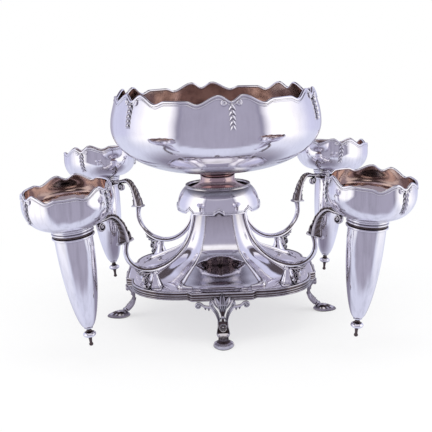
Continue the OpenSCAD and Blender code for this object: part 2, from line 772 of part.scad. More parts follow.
// Bowl: profile from its flat underside up to above its rim
bowl_lobes = 6;
bowl_top_z = bowl_rim_z + crest_share * crest_h;
bowl_bulge_z = bowl_z + bowl_bulge_h;
bowl_side = [bowl_r, bowl_rim_r, bowl_bulge_z, bowl_rim_z];
bowl_steps = 12;
function bowl_line(w) = concat(
    [for (i = [0:bowl_steps])
        let (a = 90 * i / bowl_steps)
        [bowl_flat_r + (bowl_r - bowl_flat_r - w) * sin(a),
         bowl_z + w + (bowl_bulge_h - w) * (1 - cos(a))]],
    wall_line(bowl_side, bowl_top_z, w));
module bowl_shell() {
    color(silver) difference() {
        rotate_extrude($fn = 96)
            polygon(concat([[0, bowl_z]], bowl_line(0),
                flip(bowl_line(bowl_wall)), [[0, bowl_z + bowl_wall]]));
        rotate(bowl_turn - 90)
            above_rim(bowl_side, bowl_lobes, 1);
    }
}
module bowl_border() {
    color(shaded_silver) rotate(bowl_turn - 90)
        rim_wire(bowl_side, bowl_wall, bowl_lobes, 1, bowl_wire_r, 144);
}
module bowl_pendants() {
    color(shaded_silver) for (l = [0:bowl_lobes - 1])
        rotate(bowl_turn - 90 + 360 * l / bowl_lobes)
            husk_chain(bowl_side, bowl_rim_z - notch_h, bowl_husk_l);
}
// Neck: a tube that stands on the socket's floor, with a ring moulding under the bowl
module bowl_neck() {
    color(silver) difference() {
        union() {
            translate([0, 0, socket_floor_z])
                cylinder(h = neck_l, r = neck_r);
            translate([0, 0, bowl_z - 2 * neck_ring])
                cylinder(h = 2 * neck_ring, r = neck_r + neck_ring);
        }
        translate([0, 0, socket_floor_z - 1])
            cylinder(h = neck_l + 2, r = neck_r - neck_wall);
    }
}

plateau();
plateau_border();
pedestal();
dome_collar();
dome_bead_ring();
bowl_socket();
centre_rod();
rod_washer();
rod_nut();
post_nuts();
bowl_shell();
bowl_border();
bowl_pendants();
bowl_neck();
for (k = [0:3]) {
    foot(k);
    post(k);
    post_leaf(k);
    arm(k);
    arm_leaf(k);
    vase_ring(k);
    vase_shell(k);
    vase_border(k);
    vase_pendants(k);
    vase_finial(k);
}
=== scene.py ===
"""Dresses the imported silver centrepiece: polished plate, cast mounts and gilt linings on a pale table."""

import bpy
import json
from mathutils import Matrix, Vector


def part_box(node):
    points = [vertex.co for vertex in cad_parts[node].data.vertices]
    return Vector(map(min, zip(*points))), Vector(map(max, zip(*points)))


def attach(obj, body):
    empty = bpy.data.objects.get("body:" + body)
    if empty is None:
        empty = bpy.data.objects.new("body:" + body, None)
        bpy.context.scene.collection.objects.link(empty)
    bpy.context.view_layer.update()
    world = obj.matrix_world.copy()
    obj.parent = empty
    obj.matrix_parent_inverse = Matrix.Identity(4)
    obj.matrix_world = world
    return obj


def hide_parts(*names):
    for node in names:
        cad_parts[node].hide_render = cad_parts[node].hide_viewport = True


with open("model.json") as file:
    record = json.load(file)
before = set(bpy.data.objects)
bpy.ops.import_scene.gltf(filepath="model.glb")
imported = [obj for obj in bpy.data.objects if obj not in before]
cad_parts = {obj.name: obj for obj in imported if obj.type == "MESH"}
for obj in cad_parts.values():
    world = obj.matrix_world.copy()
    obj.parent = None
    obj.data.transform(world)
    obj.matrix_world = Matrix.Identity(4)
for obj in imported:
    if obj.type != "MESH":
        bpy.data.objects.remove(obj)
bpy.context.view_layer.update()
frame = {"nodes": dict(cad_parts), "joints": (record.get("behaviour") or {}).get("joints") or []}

import json
import math

import bmesh
import bpy
import numpy as np
from bpy.props import FloatProperty, FloatVectorProperty, IntProperty, PointerProperty
from mathutils import Matrix, Vector

bl_info = {
    "name": "Silver Centrepiece",
    "version": (1, 0, 0),
    "blender": (4, 5, 0),
    "location": "3D View > Sidebar > Centrepiece",
    "description": "Builds a silver table centrepiece with a bowl and four vases over its packed frame",
    "category": "Object",
}

# Millimetres to metres; the object's sizes below are in millimetres, its properties and the stage in metres
MM = 0.001
CORNERS = ("fr", "br", "bl", "fl")
SIDES = ("right", "back", "left", "front")
HANDS = (-1, 1)


# Small sums

def linear(hexed):
    """Linear colour of an sRGB hex value"""
    parts = [int(hexed[i:i + 2], 16) / 255 for i in (0, 2, 4)]
    return tuple(c / 12.92 if c <= 0.04045 else ((c + 0.055) / 1.055) ** 2.4 for c in parts)


def mix(a, b, t):
    return a + (b - a) * t


def ease(t):
    t = np.clip(t, 0, 1)
    return t * t * (3 - 2 * t)


def unit(v):
    return v / np.maximum(np.linalg.norm(v, axis=-1, keepdims=True), 1e-9)


def spread(count, at, values):
    """Values at shares of a length, spread over a count of points"""
    return np.interp(np.linspace(0, 1, count), at, values)


def curve(points, steps):
    """Points along a cubic Bezier curve"""
    p = np.asarray(points, float)
    t = np.linspace(0, 1, steps + 1)[:, None]
    return (1 - t) ** 3 * p[0] + 3 * (1 - t) ** 2 * t * p[1] + 3 * (1 - t) * t ** 2 * p[2] + t ** 3 * p[3]


def through_points(points, steps):
    """A smooth line through points, with an even count of steps between each two"""
    p = np.asarray(points, float)
    p = np.vstack((2 * p[0] - p[1], p, 2 * p[-1] - p[-2]))
    t = np.linspace(0, 1, steps, endpoint=False)[:, None]
    parts = []
    for a, b, c, d in zip(p, p[1:], p[2:], p[3:]):
        square = 2 * a - 5 * b + 4 * c - d
        cube = 3 * b - a - 3 * c + d
        parts.append(0.5 * (2 * b + (c - a) * t + square * t ** 2 + cube * t ** 3))
    return np.vstack(parts + [p[-2:-1]])


def arc(wide, tall, start, stop, count):
    """Points on part of an ellipse round the origin, angles in radians"""
    t = np.linspace(start, stop, count)
    return np.column_stack((wide * np.cos(t), tall * np.sin(t)))


def spiral(centre, radius, inner, start, turns, steps):
    """Flat points that wind inwards round a centre, angles in degrees"""
    t = np.linspace(0, 1, steps + 1)
    a = np.radians(start + 360 * turns * t)
    r = mix(radius, inner, t)
    return np.column_stack((centre[0] + r * np.cos(a), centre[1] + r * np.sin(a)))


def circle(steps):
    """Evenly spaced angles round a circle"""
    return np.linspace(0, 2 * np.pi, steps, endpoint=False)


def around(r, a, z):
    """Points at a radius, an angle and a height"""
    return np.stack(np.broadcast_arrays(r * np.cos(a), r * np.sin(a), z), -1)


def upright(line, aside=0.0):
    """A flat line stood up in space: its points as outwards, sideways and up"""
    return np.column_stack((line[:, 0], np.broadcast_to(aside, len(line)), line[:, 1]))


def turn(points, degrees):
    """Turn points about the upright axis"""
    a = math.radians(degrees)
    c, s = math.cos(a), math.sin(a)
    return np.asarray(points, float) @ np.array(((c, s, 0), (-s, c, 0), (0, 0, 1)))


def on_diagonal(points, k):
    """Points in a corner's upright plane, given outwards, sideways and up, turned to that corner"""
    return turn(points, 90 * k - 45)


def inset(line, by):
    """A line moved to its inner side, towards the axis and up"""
    line = np.asarray(line, float)
    way = unit(np.gradient(line, axis=0))
    moved = line + by * np.column_stack((-way[:, 1], way[:, 0]))
    moved[:, 0] = np.maximum(moved[:, 0], 0)
    return moved


def round_section(sides):
    return np.column_stack((np.cos(circle(sides)), np.sin(circle(sides))))


def box_mm(node):
    """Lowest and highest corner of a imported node"""
    lo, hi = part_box(node)
    return np.array(lo) / MM, np.array(hi) / MM


# Shapes

class Shape:
    """Points in millimetres and faces, gathered before they become a mesh"""

    def __init__(self):
        self.points, self.faces, self.coat, self.count = [], [], [], 0

    def grid(self, rows, closed=False, caps=True, coats=()):
        """Rings of points joined into a skin; coats gives a ring and the coat that starts there"""
        rows = np.asarray(rows, float)
        n, m = rows.shape[:2]
        ids = self.count + np.arange(n * m).reshape(n, m)
        nxt = np.roll(ids, -1, axis=1)
        coat = 0
        for i in range(n if closed else n - 1):
            k = (i + 1) % n
            coat = dict(coats).get(i, coat)
            self.faces += np.column_stack((ids[i], nxt[i], nxt[k], ids[k])).tolist()
            self.coat += [coat] * m
        if caps and not closed:
            self.faces += [ids[0, ::-1].tolist(), ids[-1].tolist()]
            self.coat += [0, 0]
        self.points.append(rows.reshape(-1, 3))
        self.count += n * m

    def lathe(self, line, steps, coats=(), closed=False):
        """A line of radius and height turned about the upright axis"""
        line = np.asarray(line, float)
        rows = around(line[:, :1], circle(steps), line[:, 1:])
        self.grid(rows, closed=closed, caps=not closed and line[0, 0] > 0, coats=coats)

    def sweep(self, path, section, wide, thick, up=(0, 1, 0), closed=False, coat=0):
        """A section carried along a path: its first axis lies across the path, its second along up"""
        path = np.asarray(path, float)
        section = np.asarray(section, float)
        along = unit(np.roll(path, -1, 0) - np.roll(path, 1, 0) if closed else np.gradient(path, axis=0))
        up = unit(up - along * np.sum(along * up, 1, keepdims=True))
        across = np.cross(along, up)
        wide, thick = (np.broadcast_to(size, len(path))[:, None] for size in (wide, thick))
        rows = (path[:, None] + across[:, None] * (section[:, 0] * wide)[..., None]
                + up[:, None] * (section[:, 1] * thick)[..., None])
        self.grid(rows, closed=closed, coats=((0, coat),))

    def ball(self, centre, radius, squash=(1, 1, 1), rings=6, steps=10):
        t = np.linspace(-np.pi / 2, np.pi / 2, rings + 1)[:, None]
        rows = around(np.cos(t), circle(steps), np.sin(t))
        self.grid(np.asarray(centre) + rows * radius * np.asarray(squash), caps=False)

    def moved(self, rule, *more):
        """The same faces with every point moved by a rule"""
        made = Shape()
        made.points = [rule(np.vstack(self.points), *more)]
        made.faces, made.coat, made.count = self.faces, self.coat, self.count
        return made

    def mesh(self, name, *looks, sharp=40):
        """A closed mesh with a finish for each coat, normals outwards and edges sharp past an angle"""
        made = bpy.data.meshes.new(name)
        made.from_pydata(np.vstack(self.points) * MM, [], self.faces)
        made.attributes.new("coat", "INT", "FACE").data.foreach_set("value", self.coat)
        for look in looks:
            made.materials.append(finish(look))
        if len(looks) > 1:
            made.polygons.foreach_set("material_index", self.coat)
        work = bmesh.new()
        work.from_mesh(made)
        bmesh.ops.remove_doubles(work, verts=work.verts, dist=2e-6)
        bmesh.ops.dissolve_degenerate(work, edges=work.edges, dist=1e-7)
        bmesh.ops.recalc_face_normals(work, faces=work.faces)
        work.to_mesh(made)
        work.free()
        made.shade_smooth()
        made.set_sharp_from_angle(angle=math.radians(sharp))
        return made


# Node trees

def add(tree, kind, inputs=None, **settings):
    """Add one node with its settings, and fill or link its inputs; a node is linked by its first output"""
    node = tree.nodes.new(kind)
    for key, value in settings.items():
        setattr(node, key, value)
    for key, value in (inputs or {}).items():
        if isinstance(value, bpy.types.Node):
            value = value.outputs[0]
        if isinstance(value, bpy.types.NodeSocket):
            tree.links.new(value, node.inputs[key])
        else:
            node.inputs[key].default_value = value
    return node


def open_tree(name, **inputs):
    """A new geometry tree with named inputs; returns it and the inputs' sockets"""
    tree = bpy.data.node_groups.new(name, "GeometryNodeTree")
    tree.interface.new_socket("Geometry", in_out="OUTPUT", socket_type="NodeSocketGeometry")
    for label, kind in inputs.items():
        tree.interface.new_socket(label.replace("_", " "), in_out="INPUT", socket_type="NodeSocket" + kind)
    return tree, add(tree, "NodeGroupInput").outputs


def close_tree(tree, geometry, *finishes):
    """End a tree in real geometry with one finish for each coat of its faces"""
    done = add(tree, "GeometryNodeRealizeInstances", {"Geometry": geometry})
    for coat, look in enumerate(finishes):
        done = add(tree, "GeometryNodeSetMaterial", {"Geometry": done, "Material": look})
        if coat:
            read = add(tree, "GeometryNodeInputNamedAttribute", {"Name": "coat"}, data_type="INT")
            # Inputs 2 and 3 are the whole numbers that the node compares
            same = add(tree, "FunctionNodeCompare", {2: read, 3: coat}, data_type="INT", operation="EQUAL")
            tree.links.new(same.outputs[0], done.inputs["Selection"])
    add(tree, "NodeGroupOutput", {0: done})


def wavy_tree(name, rule):
    """Lifts the edge of a round shell in repeats round its axis, by a rule from -1 to 1 over one repeat"""
    tree, given = open_tree(
        name, Geometry="Geometry", Repeats="Int", Turn="Float", Height="Float", Still_at="Float",
        Edge_at="Float", Lean="Float", Outside="Material", Lining="Material", Depth="Material")
    axes = add(tree, "ShaderNodeSeparateXYZ", {0: add(tree, "GeometryNodeInputPosition")})
    angle = add(tree, "ShaderNodeMath", {0: axes.outputs["Y"], 1: axes.outputs["X"]}, operation="ARCTAN2")
    angle = add(tree, "ShaderNodeMath", {0: angle, 1: given["Turn"]}, operation="SUBTRACT")
    share = add(tree, "ShaderNodeMath", {0: angle, 1: given["Repeats"]}, operation="MULTIPLY")
    share = add(tree, "ShaderNodeMath", {0: share, 1: 2 * math.pi}, operation="DIVIDE")
    share = add(tree, "ShaderNodeMath", {0: share}, operation="FRACT")
    line = add(tree, "ShaderNodeFloatCurve", {"Value": share})
    steps = 48
    dots = line.mapping.curves[0].points
    for i in range(1, steps):
        dots.new(i / steps, 0)
    for i, dot in enumerate(dots):
        dot.location = (i / steps, 0.5 + 0.5 * rule(i / steps))
        dot.handle_type = "VECTOR"
    line.mapping.update()
    wave = add(tree, "ShaderNodeMapRange", {"Value": line, "To Min": -1.0, "To Max": 1.0}, clamp=False)
    wave = add(tree, "ShaderNodeMath", {0: wave, 1: given["Height"]}, operation="MULTIPLY")
    fade = add(tree, "ShaderNodeMapRange", {
        "Value": axes.outputs["Z"], "From Min": given["Still at"], "From Max": given["Edge at"]},
        interpolation_type="SMOOTHSTEP")
    rise = add(tree, "ShaderNodeMath", {0: wave, 1: fade}, operation="MULTIPLY")
    lean = add(tree, "ShaderNodeMath", {0: rise, 1: given["Lean"]}, operation="MULTIPLY")
    flat = add(tree, "ShaderNodeCombineXYZ", {0: axes.outputs["X"], 1: axes.outputs["Y"]})
    outward = add(tree, "ShaderNodeVectorMath", {0: flat}, operation="NORMALIZE")
    outward = add(tree, "ShaderNodeVectorMath", {0: outward, "Scale": lean}, operation="SCALE")
    upward = add(tree, "ShaderNodeCombineXYZ", {2: rise})
    shift = add(tree, "ShaderNodeVectorMath", {0: outward, 1: upward}, operation="ADD")
    moved = add(tree, "GeometryNodeSetPosition", {"Geometry": given["Geometry"], "Offset": shift})
    close_tree(tree, moved, given["Outside"], given["Lining"], given["Depth"])
    return tree


def moulding_tree():
    """Lays a round moulding along bare edges, as thick as each point says"""
    tree, given = open_tree("Moulding along a line", Geometry="Geometry", Sides="Int", Finish="Material")
    line = add(tree, "GeometryNodeMeshToCurve", {"Mesh": given["Geometry"]})
    thick = add(tree, "GeometryNodeInputNamedAttribute", {"Name": "thickness"}, data_type="FLOAT")
    section = add(tree, "GeometryNodeCurvePrimitiveCircle", {"Resolution": given["Sides"], "Radius": 1.0})
    bar = add(tree, "GeometryNodeCurveToMesh", {
        "Curve": line, "Profile Curve": section, "Scale": thick, "Fill Caps": True})
    smooth = add(tree, "GeometryNodeSetShadeSmooth", {"Geometry": bar})
    close_tree(tree, smooth, given["Finish"])
    return tree


def bead_tree():
    """Sets a ring of beads round the upright axis"""
    tree, given = open_tree("Ring of beads", Geometry="Geometry", Count="Int", Ring_radius="Float",
                            Height="Float", Bead_radius="Float", Finish="Material")
    ring = add(tree, "GeometryNodeMeshCircle", {"Vertices": given["Count"], "Radius": given["Ring radius"]})
    lift = add(tree, "ShaderNodeCombineXYZ", {2: given["Height"]})
    ring = add(tree, "GeometryNodeSetPosition", {"Geometry": ring, "Offset": lift})
    bead = add(tree, "GeometryNodeMeshUVSphere", {"Segments": 8, "Rings": 5, "Radius": given["Bead radius"]})
    bead = add(tree, "GeometryNodeSetShadeSmooth", {"Geometry": bead})
    beads = add(tree, "GeometryNodeInstanceOnPoints", {"Points": ring, "Instance": bead})
    both = add(tree, "GeometryNodeJoinGeometry")
    tree.links.new(given["Geometry"], both.inputs[0])
    tree.links.new(beads.outputs[0], both.inputs[0])
    close_tree(tree, both, given["Finish"])
    return tree


def chain_tree():
    """Sets copies of a leaf on points that say which way each lies, which way it faces and its size"""
    tree, given = open_tree("Leaves on a line", Geometry="Geometry", Leaf="Object", Finish="Material")
    read = {name: add(tree, "GeometryNodeInputNamedAttribute", {"Name": name}, data_type=kind)
            for name, kind in (("along", "FLOAT_VECTOR"), ("facing", "FLOAT_VECTOR"), ("size", "FLOAT"))}
    turned = add(tree, "FunctionNodeAxesToRotation", {
        "Primary Axis": read["facing"], "Secondary Axis": read["along"]},
        primary_axis="Z", secondary_axis="X")
    leaf = add(tree, "GeometryNodeObjectInfo", {"Object": given["Leaf"]})
    leaves = add(tree, "GeometryNodeInstanceOnPoints", {
        "Points": given["Geometry"], "Instance": leaf.outputs["Geometry"], "Rotation": turned,
        "Scale": read["size"]})
    close_tree(tree, leaves, given["Finish"])
    return tree


def put(name, data):
    """A new object in the scene"""
    made = bpy.data.objects.new(name, data)
    bpy.context.scene.collection.objects.link(made)
    return made


def through(tree, mesh, values):
    """Run a mesh through a tree and return the plain mesh that comes out"""
    holder = put(tree.name, mesh)
    modifier = holder.modifiers.new(tree.name, "NODES")
    modifier.node_group = tree
    for socket in tree.interface.items_tree:
        if socket.in_out == "INPUT" and socket.name in values:
            modifier[socket.identifier] = values[socket.name]
    graph = bpy.context.evaluated_depsgraph_get()
    made = bpy.data.meshes.new_from_object(holder.evaluated_get(graph), depsgraph=graph)
    bpy.data.objects.remove(holder)
    if not made.polygons:
        raise RuntimeError(tree.name + " made no faces")
    return made


def moulding_mesh(name, lines, look, sides=10):
    """Round mouldings along lines, each given as (points, radius, closed)"""
    path = bpy.data.meshes.new(name)
    points, edges, thick, base = [], [], [], 0
    for line, radius, closed in lines:
        n = len(line)
        points.append(np.asarray(line, float))
        thick.append(np.broadcast_to(radius, n))
        edges += [(base + i, base + (i + 1) % n) for i in range(n if closed else n - 1)]
        base += n
    path.from_pydata(np.vstack(points) * MM, edges, [])
    thick = np.concatenate(thick) * MM
    path.attributes.new("thickness", "FLOAT", "POINT").data.foreach_set("value", thick)
    return through(moulding_tree(), path, {"Sides": sides, "Finish": finish(look)})


def piece(name, mesh, body, nodes, place=None):
    """Hang a finished mesh on a body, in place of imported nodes"""
    if place is not None:
        mesh.transform(place)
    mesh.name = name
    made = put(name, mesh)
    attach(made, body)
    if nodes:
        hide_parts(*nodes)
    return made


# Finishes

def blank_material(name):
    """A new material and its node tree"""
    made = bpy.data.materials.new(name)
    made.use_nodes = True
    return made, made.node_tree


def metal(name, colour, stain, rough, hollow_mm, stain_share, mark_mm, cloud_mm=28, cloud_share=0.08,
          painted_shade_veil=None, streak_share=0.0):
    """A metal with soft clouding, fine wiping marks and a stain in its hollows; a veil of painted shade in
    the stain's colour may thicken from one height to another, given with its share"""
    made, tree = blank_material(name)
    shader = tree.nodes["Principled BSDF"]
    shader.inputs["Metallic"].default_value = 1.0
    place = add(tree, "ShaderNodeTexCoord").outputs["Object"]
    cloud = add(tree, "ShaderNodeTexNoise", {"Vector": place, "Scale": 1 / (cloud_mm * MM), "Detail": 4.0})
    hollow = add(tree, "ShaderNodeAmbientOcclusion", {"Distance": hollow_mm * MM}, samples=8)
    stains_and_shade = [
        add(tree, "ShaderNodeMapRange", {
            "Value": hollow.outputs["AO"], "From Min": 0.35, "From Max": 0.92,
            "To Min": stain_share, "To Max": 0.0}),
        add(tree, "ShaderNodeMapRange", {
            "Value": cloud, "From Min": 0.38, "From Max": 0.68, "To Min": 0.0, "To Max": cloud_share})]
    if painted_shade_veil:
        # Painted shade: the stain's colour laid on more thickly from one height to the other
        clear, full, share = painted_shade_veil
        height = add(tree, "ShaderNodeSeparateXYZ", {0: place}).outputs["Z"]
        stains_and_shade.append(add(tree, "ShaderNodeMapRange", {
            "Value": height, "From Min": clear * MM, "From Max": full * MM, "To Min": 0.0, "To Max": share}))
    if streak_share:
        # Upright streaks left by the cloth, 4 mm apart and many times as long
        drawn = add(tree, "ShaderNodeMapping", {"Vector": place, "Scale": (1, 1, 0.035)})
        streak = add(tree, "ShaderNodeTexNoise", {"Vector": drawn, "Scale": 1 / (4 * MM), "Detail": 4.0})
        stains_and_shade.append(add(tree, "ShaderNodeMapRange", {
            "Value": streak, "From Min": 0.45, "From Max": 0.75, "To Min": 0.0, "To Max": streak_share}))
    stain_and_shade = stains_and_shade[0]
    for more in stains_and_shade[1:]:
        stain_and_shade = add(tree, "ShaderNodeMath", {0: stain_and_shade, 1: more}, operation="ADD", use_clamp=True)
    paint = add(tree, "ShaderNodeMix", {
        "Factor": stain_and_shade, "A": (*colour, 1), "B": (*stain, 1)}, data_type="RGBA")
    tree.links.new(paint.outputs["Result"], shader.inputs["Base Color"])
    marks = add(tree, "ShaderNodeTexNoise", {"Vector": place, "Scale": 1 / (mark_mm * MM), "Detail": 3.0})
    gloss = add(tree, "ShaderNodeMapRange", {
        "Value": marks, "From Min": 0.3, "From Max": 0.8, "To Min": rough * 0.8, "To Max": rough * 1.5})
    # Stained metal, and metal under the painted shade, is duller as well as darker
    gloss = add(tree, "ShaderNodeMath", {0: stain_and_shade, 1: 0.25, 2: gloss}, operation="MULTIPLY_ADD")
    tree.links.new(gloss.outputs[0], shader.inputs["Roughness"])
    swell = add(tree, "ShaderNodeBump", {"Height": cloud, "Strength": 0.12, "Distance": 0.4 * MM})
    tree.links.new(swell.outputs[0], shader.inputs["Normal"])
    return made


def finish(name):
    """One of the object's finishes, made on first use"""
    if name in bpy.data.materials:
        return bpy.data.materials[name]
    look = bpy.context.scene.centrepiece_finish
    plate = {"colour": look.silver, "stain": look.tarnish_and_painted_shade, "rough": look.polish, "hollow_mm": 3,
             "stain_share": 0.5, "mark_mm": 0.9}
    cast = {"stain": look.tarnish_and_painted_shade, "rough": look.polish * 2.2, "hollow_mm": 3, "stain_share": 0.9,
            "mark_mm": 0.7, "cloud_mm": 5}
    lining = {"colour": look.gilt, "stain": look.well, "rough": look.polish * 0.9, "hollow_mm": 6,
              "mark_mm": 0.8}
    recipes = {
        # Electroplated silver, spun and mirror polished: cool white with the faintest cloud of wiping
        "silver_plate_polished": plate,
        # The same plate on the vases, with streaks of wiping down their tubes
        "silver_plate_vase": {**plate, "cloud_share": 0.06, "streak_share": 0.18},
        # The same plate on the bowl, darkened towards its underside: painted shade under the bowl
        "silver_plate_bowl": {**plate, "painted_shade_veil": (200, 172, 0.5), "streak_share": 0.05},
        # The same plate on the collar, darkened round its mouth under the bowl: painted shade
        "silver_plate_collar": {**plate, "painted_shade_veil": (145, 153, 0.6)},
        # The same plate on the pedestal, darkened to brown below the collar: painted shade and a painted
        # brown reflection
        "silver_plate_pedestal": {**plate, "stain": look.brown_stain_and_painted_shade, "stain_share": 0.6, "painted_shade_veil": (98, 130, 0.46),
                                  "streak_share": 0.06},
        # Cast and chased silver: plate over modelling, with grey tarnish left in patches and in the hollows
        "silver_cast_chased": {**cast, "colour": look.cast, "rough": look.polish * 2, "hollow_mm": 3.5,
                               "stain_share": 1.0, "cloud_mm": 9, "cloud_share": 0.34},
        # Cast silver that is never wiped, gone dark as a ground for brighter relief; on the vase finials the
        # same dark is painted shade
        "silver_cast_tarnished": {**cast, "colour": look.ground, "cloud_share": 0.4},
        # Cast silver that is seldom wiped: a dull grey between the two
        "silver_cast_dulled": {**cast, "colour": look.unpolished, "cloud_share": 0.3},
        # Gilt lining of the bowl: a thin wash of gold, worn to a warm tan in large patches
        "gilt_lining_worn": {**lining, "stain_share": 0.3, "cloud_mm": 18, "cloud_share": 0.58},
        # Gilt lining of the vases, which is less worn
        "gilt_lining_bright": {**lining, "stain_share": 0.2, "cloud_mm": 24, "cloud_share": 0.22},
        # Well lining: gold wash that has darkened to reddish brown where no cloth reaches
        "gilt_well_darkened": {**lining, "colour": look.gilt_shade, "rough": look.polish * 6, "hollow_mm": 8,
                               "stain_share": 0.4},
        # Neck: plate rubbed thin, so that the copper under it blushes through
        "silver_neck_coppery": {**lining, "colour": look.neck, "rough": look.polish * 1.5, "hollow_mm": 5,
                                "stain_share": 0.6},
        # Unlined inside: silver that is never polished and has gone dark
        "silver_inside_darkened": {**plate, "colour": look.unpolished, "rough": look.polish * 2.5,
                                   "hollow_mm": 5, "stain_share": 0.8, "mark_mm": 0.8},
        # Turned steel for the hidden rod and nuts
        "steel_turned": {**plate, "colour": look.steel, "rough": 0.28, "hollow_mm": 2, "mark_mm": 0.6},
    }
    return metal(name, **recipes[name])


# Walls, rims and pendants that the bowl and the vases share

# A wall bends inwards over this share of its height and then runs straight to its rim
BEND = 0.6
# The waves of a rim fade out below this share of its wall's height
WAVE_FROM = 0.35
# One repeat of a wavy rim: share of the repeat and level, with a pendant at 0
RIM_KNOTS = ((0, "notch"), (0.11, "crest"), (0.305, "valley"), (0.4, None), (0.5, None))


class Wall:
    """A vessel's upper wall: widest radius, rim radius, height of each, wall thickness, and the repeats, turn
    and share of the waves on its rim"""

    def __init__(self, wide, rim, bulge_z, rim_z, thick, repeats, turn_deg, wave_share):
        self.wide, self.rim, self.bulge_z, self.rim_z, self.thick = wide, rim, bulge_z, rim_z, thick
        self.repeats, self.turn, self.share = repeats, turn_deg, wave_share
        self.slope = (rim - wide) / (rim_z - bulge_z) * 2 / (2 - BEND)

    def radius(self, z):
        t = (np.asarray(z, float) - self.bulge_z) / (self.rim_z - self.bulge_z)
        lean = np.where(t < BEND, np.maximum(t, 0) ** 2, BEND * (2 * t - BEND)) / (BEND * (2 - BEND))
        return mix(self.wide, self.rim, lean)

    def line(self, steps):
        z = np.linspace(self.bulge_z, self.rim_z, steps + 1)[1:]
        return np.column_stack((self.radius(z), z))

    def level(self, u):
        return self.rim_z + self.share * rim_wave(u)

    def at(self, u, z, out=0.0):
        """The place on the outside at a share of a repeat and a height"""
        return around(self.radius(z) + out, np.radians(self.turn + 360 * np.asarray(u) / self.repeats), z)


def rim_wave(u):
    """Height of a wavy rim at a share of one repeat"""
    sizes = bpy.context.scene.centrepiece_sizes
    levels = {"notch": -sizes.rim_notch, "crest": sizes.rim_crest, "valley": -sizes.rim_valley, None: 0.0}
    at = np.array([share for share, knot in RIM_KNOTS])
    high = np.array([levels[knot] / MM for share, knot in RIM_KNOTS])
    w = np.asarray(u, float) % 1
    w = np.minimum(w, 1 - w)
    i = np.clip(np.searchsorted(at, w, "right") - 1, 0, len(at) - 2)
    return mix(high[i], high[i + 1], ease((w - at[i]) / (at[i + 1] - at[i])))


def vessel_mesh(name, outside, wall, *looks, steps, deep_z):
    """A thin shell with a lining, a darker depth below a height and a wavy rim, from its outer line"""
    inside = inset(outside, wall.thick)
    inside[0] = (0, outside[0, 1] + wall.thick)
    lip = (outside[-1] + inside[-1]) / 2 + (0, 0.4)
    lined = len(outside) + 1
    deep = lined + int(np.sum(inside[:, 1] > deep_z))
    shell = Shape()
    shell.lathe(np.vstack((outside, lip, inside[::-1])), steps, coats=((lined, 1), (deep, 2)))
    sizes = bpy.context.scene.centrepiece_sizes
    tall = max(sizes.rim_crest, sizes.rim_valley, sizes.rim_notch)
    outer, lining, depth = (finish(look) for look in looks)
    waves = wavy_tree(name + " rim", lambda u: float(rim_wave(u)) * MM / tall)
    return through(waves, shell.mesh(name), {
        "Repeats": wall.repeats, "Turn": math.radians(wall.turn), "Height": tall * wall.share,
        "Still at": mix(wall.bulge_z, wall.rim_z, WAVE_FROM) * MM, "Edge at": wall.rim_z * MM,
        "Lean": wall.slope, "Outside": outer, "Lining": lining, "Depth": depth})


def rim_mesh(name, wall, wire, steps):
    """The double moulding on a wavy rim, with a drop in every notch and a curl each side of it"""
    u = np.linspace(0, wall.repeats, steps, endpoint=False)
    z = wall.level(u)
    lines = [(wall.at(u, z, -wall.thick / 2), wire, True),
             (wall.at(u, z - 1.7 * wire, 0.1), wire * 0.45, True)]
    repeat = 2 * math.pi * wall.rim / wall.repeats
    fall = np.linspace(0, 1, 9)
    drop = wire * np.interp(fall, (0, 0.3, 0.65, 1), (0.4, 0.95, 0.8, 0.2))
    curl = spiral((0, 0), 1.65 * wire, 0.3 * wire, 60, -1.45, 34)
    curl_z = wall.level(0.04) - 1.3 * wire + curl[:, 1]
    for lobe in range(wall.repeats):
        # A drop in the notch, from which the husks hang
        place = wall.at(np.full(len(fall), lobe), wall.level(0) - wire * mix(0.2, 3.0, fall), 0.35 * wire)
        lines.append((place, drop, False))
        for hand in HANDS:
            place = wall.at(lobe + hand * (4.6 * wire + curl[:, 0]) / repeat, curl_z, 0.4 * wire)
            lines.append((place, np.linspace(0.75, 0.6, len(curl)) * wire, False))
    return moulding_mesh(name, lines, "silver_plate_polished")


def husk_leaf():
    """One husk: two pointed leaves that part downwards with a bud between, a unit long, along X, facing Z"""
    if "husk" in bpy.data.objects:
        return bpy.data.objects["husk"]
    made = Shape()
    section = ((-1, 0), (-0.55, 0.7), (0, 1), (0.55, 0.7), (1, 0), (0, -0.4))
    t = np.linspace(0, 1, 6)[:, None]
    wide = np.interp(t[:, 0], (0, 0.3, 0.7, 1), (0.1, 0.16, 0.13, 0.03))
    for hand in HANDS:
        aside = hand * (0.06 + 0.42 * t ** 1.5)
        path = np.hstack((mix(-0.5, 0.42, t), aside, 0.08 + 0.16 * np.sin(np.pi * t)))
        made.sweep(path, section, wide, wide * 1.1, up=(0, 0, 1))
    made.ball((0.08, 0, 0.10), 0.10, (1.8, 0.8, 0.9), rings=4, steps=6)
    # Its unit is a metre, because the points that it is set on give its size in metres
    return bpy.data.objects.new("husk", made.moved(np.divide, MM).mesh("husk"))


